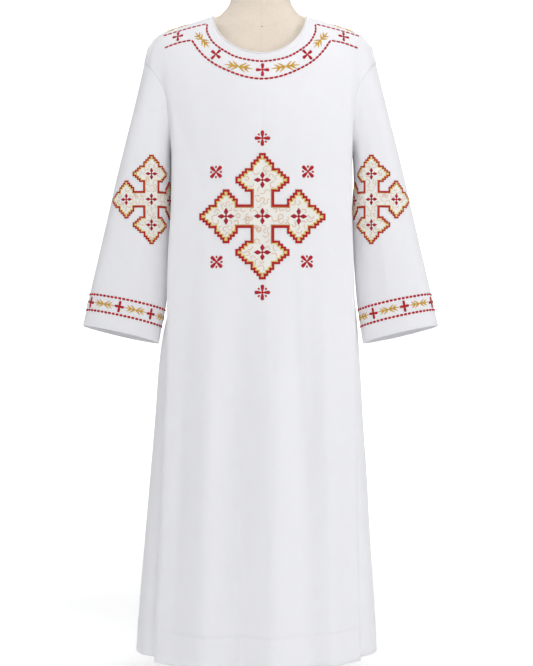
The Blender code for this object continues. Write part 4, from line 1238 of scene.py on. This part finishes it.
def insideCross(x, y, margin=0.0):
    for out, along in ((abs(x), abs(y)), (abs(y), abs(x))):
        if out < cross["bar"] - margin and along < cross["lobe"]:
            return True
        for half, reach in cross["steps"]:
            if abs(along - cross["lobe"]) < half - margin and out < reach - margin:
                return True
            if out < half - margin and 0 <= along - cross["lobe"] < reach - margin:
                return True
    return False


crossReach = cross["lobe"] + cross["steps"][-1][1]
# the middle and the four arms, whose places are also the four ways
arms = ((0, 0), (1, 0), (-1, 0), (0, 1), (0, -1))


def sliceAt(bm, way, places):
    for place in places:
        geom = bm.verts[:] + bm.edges[:] + bm.faces[:]
        at = Vector(way) * float(place)
        bmesh.ops.bisect_plane(bm, geom=geom, dist=0.0001, plane_co=at, plane_no=way)


def flatCross():        # one face with the stepped outline, then rings inwards for border, edge and ground
    lines = {cross["bar"], cross["lobe"] - cross["bar"], cross["lobe"] + cross["bar"]}
    for pair in cross["steps"]:
        for off in pair:
            lines |= {off, cross["lobe"] - off, cross["lobe"] + off}
    lines = [line for line in sorted(lines) if line < crossReach - 0.001]
    bm = bmesh.new()
    bmesh.ops.create_grid(bm, x_segments=1, y_segments=1, size=crossReach)
    for way in ((1, 0, 0), (0, 1, 0)):
        sliceAt(bm, way, lines + [-line for line in lines])
    outside = [face for face in bm.faces if not insideCross(*face.calc_center_median()[:2])]
    bmesh.ops.delete(bm, geom=outside, context="FACES")
    bmesh.ops.dissolve_faces(bm, faces=bm.faces[:])
    straight = []
    for vert in bm.verts:
        first, second = ((edge.other_vert(vert).co - vert.co).normalized() for edge in vert.link_edges)
        if abs(first.cross(second).z) < 0.01:
            straight.append(vert)
    bmesh.ops.dissolve_verts(bm, verts=straight)
    face = next(iter(bm.faces))
    if face.normal.z < 0:
        bmesh.ops.reverse_faces(bm, faces=[face])
    bmesh.ops.translate(bm, verts=bm.verts, vec=(0, 0, cross["edgeHeight"]))
    teeth = []
    for number, (width, height, which) in enumerate(cross["rings"], 1):
        made = bmesh.ops.inset_region(bm, faces=[face], thickness=width, use_even_offset=True,
                                      use_boundary=True)
        for ringFace in made["faces"]:
            off = sorted(abs(way) for way in ringFace.calc_center_median()[:2])
            onBar = off[0] < cross["bar"] and off[1] < cross["lobe"] - cross["bar"]
            ringFace.material_index = 1 if onBar and which == 2 else which
        for vert in face.verts:
            vert.co.z = height
        if number == cross["borderRings"]:
            for loop in face.loops:
                before, here, after = loop.link_loop_prev.vert.co, loop.vert.co, loop.link_loop_next.vert.co
                if (here - before).cross(after - here).z > 0:
                    teeth.append(here.xy.copy())
    face.material_index = 3
    for step, way in zip(cross["cuts"], ((1, 0, 0), (0, 1, 0))):
        sliceAt(bm, way, np.arange(step / 2 - math.floor(crossReach / step) * step, crossReach, step))
    return bm, teeth


def scrollPaths(seed):      # loops that wander over the ground, off the border, petals and one another
    chance = np.random.default_rng(seed)
    centres = np.array(arms) * cross["lobe"]
    drawn = np.full((1, 2), 2 * crossReach)
    paths = []
    for _ in range(cross["scrollTries"]):
        place = chance.uniform(-crossReach, crossReach, 2)
        heading = chance.uniform(0, 2 * math.pi)
        bend = chance.choice((-1, 1)) * chance.uniform(*cross["scrollBends"])
        turnsAt = chance.integers(*cross["scrollTurns"])
        run = []
        for step in range(cross["scrollReach"]):
            off = np.sort(abs(place - centres), axis=1)
            onPetal = np.any(np.all(off < cross["petalRoom"], axis=1))
            near = np.min(np.hypot(*(drawn - place).T)) < cross["scrollGap"]
            if onPetal or near or not insideCross(*place, cross["scrollMargin"]):
                break
            run.append(place)
            heading += bend
            if step % turnsAt == turnsAt - 1:
                bend = -bend * chance.uniform(*cross["scrollChange"])
            place = place + cross["scrollStep"] * np.array((math.cos(heading), math.sin(heading)))
        if len(run) > cross["scrollLeast"]:
            paths.append(run)
            drawn = np.vstack((drawn, run))
    return paths


def layCross(name, node, unit, lay, seed):      # lay gives the seat for a place on the flat cross, in metres
    large = (unit - cross["sleeveUnit"]) / (cross["chestUnit"] - cross["sleeveUnit"])
    tall = mix(*cross["heights"], large)
    bm, teeth = flatCross()
    for vert in bm.verts:
        seat = lay(vert.co.x * unit, vert.co.y * unit)
        vert.co = seat.place + seat.normal * (vert.co.z * tall)
    made = finishPiece(name, bm, [threads[key] for key in ("red", "amber", "edgeGold", "ground")])
    addWall(made, cross["wall"])
    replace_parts(made, node)
    lay(0, 0).cloth
    high = cross["rings"][-1][1] * tall
    paths = []
    for path in scrollPaths(seed):
        seats = [lay(x * unit, y * unit) for x, y in path]
        paths.append([seat.place + seat.normal * high for seat in seats])
    cordPiece(name + "Scrolls", paths, cross["scrollRadius"] * tall, threads["scroll"])

    def between(startX, startY, endX, endY, width, height, taper, drop):
        start, end = lay(startX * unit, startY * unit), lay(endX * unit, endY * unit)
        return stitchBetween(start.cloth, start.place, end.place, width * unit, height, taper, drop, high)

    petals, gold = [], []
    length, width, height = cross["petal"]
    near, far = cross["petalOut"] - length / 2, cross["petalOut"] + length / 2
    eye = cross["eye"] * unit
    tooth, toothWidth, toothHeight = cross["tooth"]
    for arm in arms:
        centre = Vector(arm) * cross["lobe"]
        for way in arms[1:]:
            start, end = centre + Vector(way) * near, centre + Vector(way) * far
            petals.append(between(*start, *end, width, height, cross["petalTaper"], 0.0))
        seat = lay(*(centre * unit))
        petals.append(stitch(seat, Vector((0, 0, 1)), (eye, eye, height), 0.0, 0.0, high))
        for corner in teeth:
            way = centre - corner
            if any(arm) and way.length < cross["steps"][-1][1] + 1:
                end = corner + way.normalized() * tooth
                gold.append(between(*corner, *end, toothWidth, toothHeight, *cross["toothForm"]))
    stitchPiece(name + "Petals", petals, threads["deepRed"])
    stitchPiece(name + "Teeth", gold, threads["edgeGold"])


def layOnChest(across, up):
    return panelSeat(frontPanel, cross["chestX"] + across, cross["chestZ"] + up)


@lru_cache(maxsize=None)
def sleeveGrid(side):       # places over the front of a sleeve, from its shoulder line round
    ways = np.linspace(0.0, 0.85, 69)
    acrosses = np.arange(-3, halfRing + 6, 0.25)
    return np.array([[sleeveSpot(side, across, way) for way in ways] for across in acrosses])


@lru_cache(maxsize=None)
def sleeveLevel(side, z):       # places of one height round a sleeve, and lengths from the cross's middle
    places = np.array([[np.interp(-z, -line[:, 2], line[:, i]) for i in range(3)]
                       for line in sleeveGrid(side)])
    lengths = runLengths(places)
    front = slice(12, 12 + 4 * halfRing)
    centre = cross["sleeveXs"][side] + side * sleeveCut["lean"]
    middle = np.interp(-centre, -side * places[front, 0], lengths[front])
    return places, lengths - middle


def layOnSleeve(side, across, up):
    places, lengths = sleeveLevel(side, round(cross["sleeveZ"] + up, 5))
    near = [np.interp(-side * across, lengths, places[:, i]) for i in range(3)]
    return Seat("sleeve" + sideNames[side].title(), near)


layCross("chestCross", "chest_cross", cross["chestUnit"], layOnChest, 3)
print("chest cross made")
for side, word in sideNames.items():
    name = "sleeveCross" + word.title()
    layCross(name, "sleeve_cross_" + word, cross["sleeveUnit"], partial(layOnSleeve, side), 7 + side)
    print("sleeve cross", word, "made")

# small red flowers round the chest cross, of four drops with a seed between each two: x, z, turn
flowers = {"places": ((0.0012, 1.1678, 0), (0.0012, 0.8483, 0), (-0.0949, 1.0984, 45),
                      (0.0956, 1.0994, 45), (-0.0935, 0.9116, 45), (0.0933, 0.9127, 45)),
           "reach": 0.0165, "petalWidth": 0.0062, "seedOut": 0.0105, "seed": (0.0052, 0.0040, 0.0010)}


def addFlowers():
    stitches = []
    for x, z, turn in flowers["places"]:
        seat = panelSeat(frontPanel, x, z)
        turn = math.radians(turn)
        up = Vector((math.sin(turn), 0, math.cos(turn)))
        stitches += dropCross(seat, up, flowers["reach"], width=flowers["petalWidth"])
        for corner in range(4):
            swing = turn + math.pi * (0.25 + corner / 2)
            way = Vector((math.sin(swing), 0, math.cos(swing)))
            near = Seat(seat.cloth, seat.place + seat.flat(way) * flowers["seedOut"])
            stitches.append(stitch(near, way, flowers["seed"]))
    stitchPiece("chestFlowers", stitches, threads["red"])


addFlowers()
print("flowers made")

# stage, lights and camera
stageSizes = {"floorZ": 0.0, "front": -6.0, "back": 7.6, "halfWidth": 7.0, "height": 5.0, "turn": 1.0,
              "glow": ((0.40, 0.40, 0.40), (0.90, 0.90, 0.90)), "glowFrom": 1.0, "glowOver": 2.5}


def grown(bm, edges, vec):      # the far edge of a strip that grows from an edge
    made = bmesh.ops.extrude_edge_only(bm, edges=edges)["geom"]
    bmesh.ops.translate(bm, verts=kindOf(made, bmesh.types.BMVert), vec=vec)
    return kindOf(made, bmesh.types.BMEdge)[:1]


def addStage():
    bm = bmesh.new()
    halfWidth, front, floorZ = (stageSizes[key] for key in ("halfWidth", "front", "floorZ"))
    turn, bendY = stageSizes["turn"], stageSizes["back"] - stageSizes["turn"]
    ends = [bm.verts.new((x, front, floorZ)) for x in (-halfWidth, halfWidth)]
    edges = grown(bm, [bm.edges.new(ends)], (0, bendY - front, 0))
    made = bmesh.ops.spin(bm, geom=edges, cent=(0, bendY, floorZ + turn), axis=(1, 0, 0), angle=math.pi / 2,
                          steps=16)
    grown(bm, kindOf(made["geom_last"], bmesh.types.BMEdge)[:1], (0, 0, stageSizes["height"]))
    bmesh.ops.recalc_face_normals(bm, faces=bm.faces)
    mesh = bpy.data.meshes.new("paper")
    bm.to_mesh(mesh)
    bm.free()
    mesh.shade_smooth()
    made = bpy.data.objects.new("paper", mesh)
    paint = Paint("paperWhite", **{"Base Color": (0.93, 0.93, 0.93, 1), "Roughness": 0.9,
                                   "Emission Strength": 1.0})
    away = paint.parts(paint.at("Object"))[1]       # the paper glows more where the lamps don't reach
    share = ((away - stageSizes["glowFrom"]) / stageSizes["glowOver"]).held()
    mesh.materials.append(paint.feed(Emission_Color=paint.colours(share, *stageSizes["glow"])))
    bpy.context.scene.collection.objects.link(made)


# place, height it aims at over the middle of the floor, size, power
lamps = {
    "keyRight": ((3.0, -0.6, 1.7), 0.9, 1.0, 22),
    "front": ((0.3, -3.4, 1.6), 0.8, 1.4, 21),
    "frontTop": ((0.2, -2.2, 3.0), 0.9, 1.2, 17),
    "top": ((0.0, -0.5, 3.4), 1.0, 1.4, 23),
    "fillLeft": ((-3.0, -0.6, 1.5), 0.9, 1.4, 10),
}
room = {"colour": (0.97, 0.98, 1.0, 1), "strength": 0.20}


def addLights():
    for name, (place, target, size, power) in lamps.items():
        lamp = bpy.data.lights.new(name, "AREA")
        lamp.shape = "DISK"
        lamp.size = size
        lamp.energy = power
        made = bpy.data.objects.new(name, lamp)
        made.location = place
        made.rotation_euler = (Vector((0, 0, target)) - Vector(place)).to_track_quat("-Z", "Y").to_euler()
        bpy.context.scene.collection.objects.link(made)
    world = bpy.data.worlds.new("room")
    bpy.context.scene.world = world
    world.use_nodes = True
    background = world.node_tree.nodes["Background"]
    background.inputs["Color"].default_value = room["colour"]
    background.inputs["Strength"].default_value = room["strength"]


cameraSizes = {"place": (0.0097, -3.2, 0.765), "lens": 80.4, "sensor": 36.0}


def addCamera():
    camera = bpy.data.cameras.new("camera")
    camera.lens = cameraSizes["lens"]
    camera.sensor_width = cameraSizes["sensor"]
    camera.clip_end = 50
    made = bpy.data.objects.new("camera", camera)
    made.location = cameraSizes["place"]
    made.rotation_euler = (math.pi / 2, 0, 0)
    bpy.context.scene.collection.objects.link(made)
    bpy.context.scene.camera = made


addStage()
addLights()
addCamera()
bpy.context.scene.view_settings.view_transform = "Standard"
print("stage, lights and camera set")
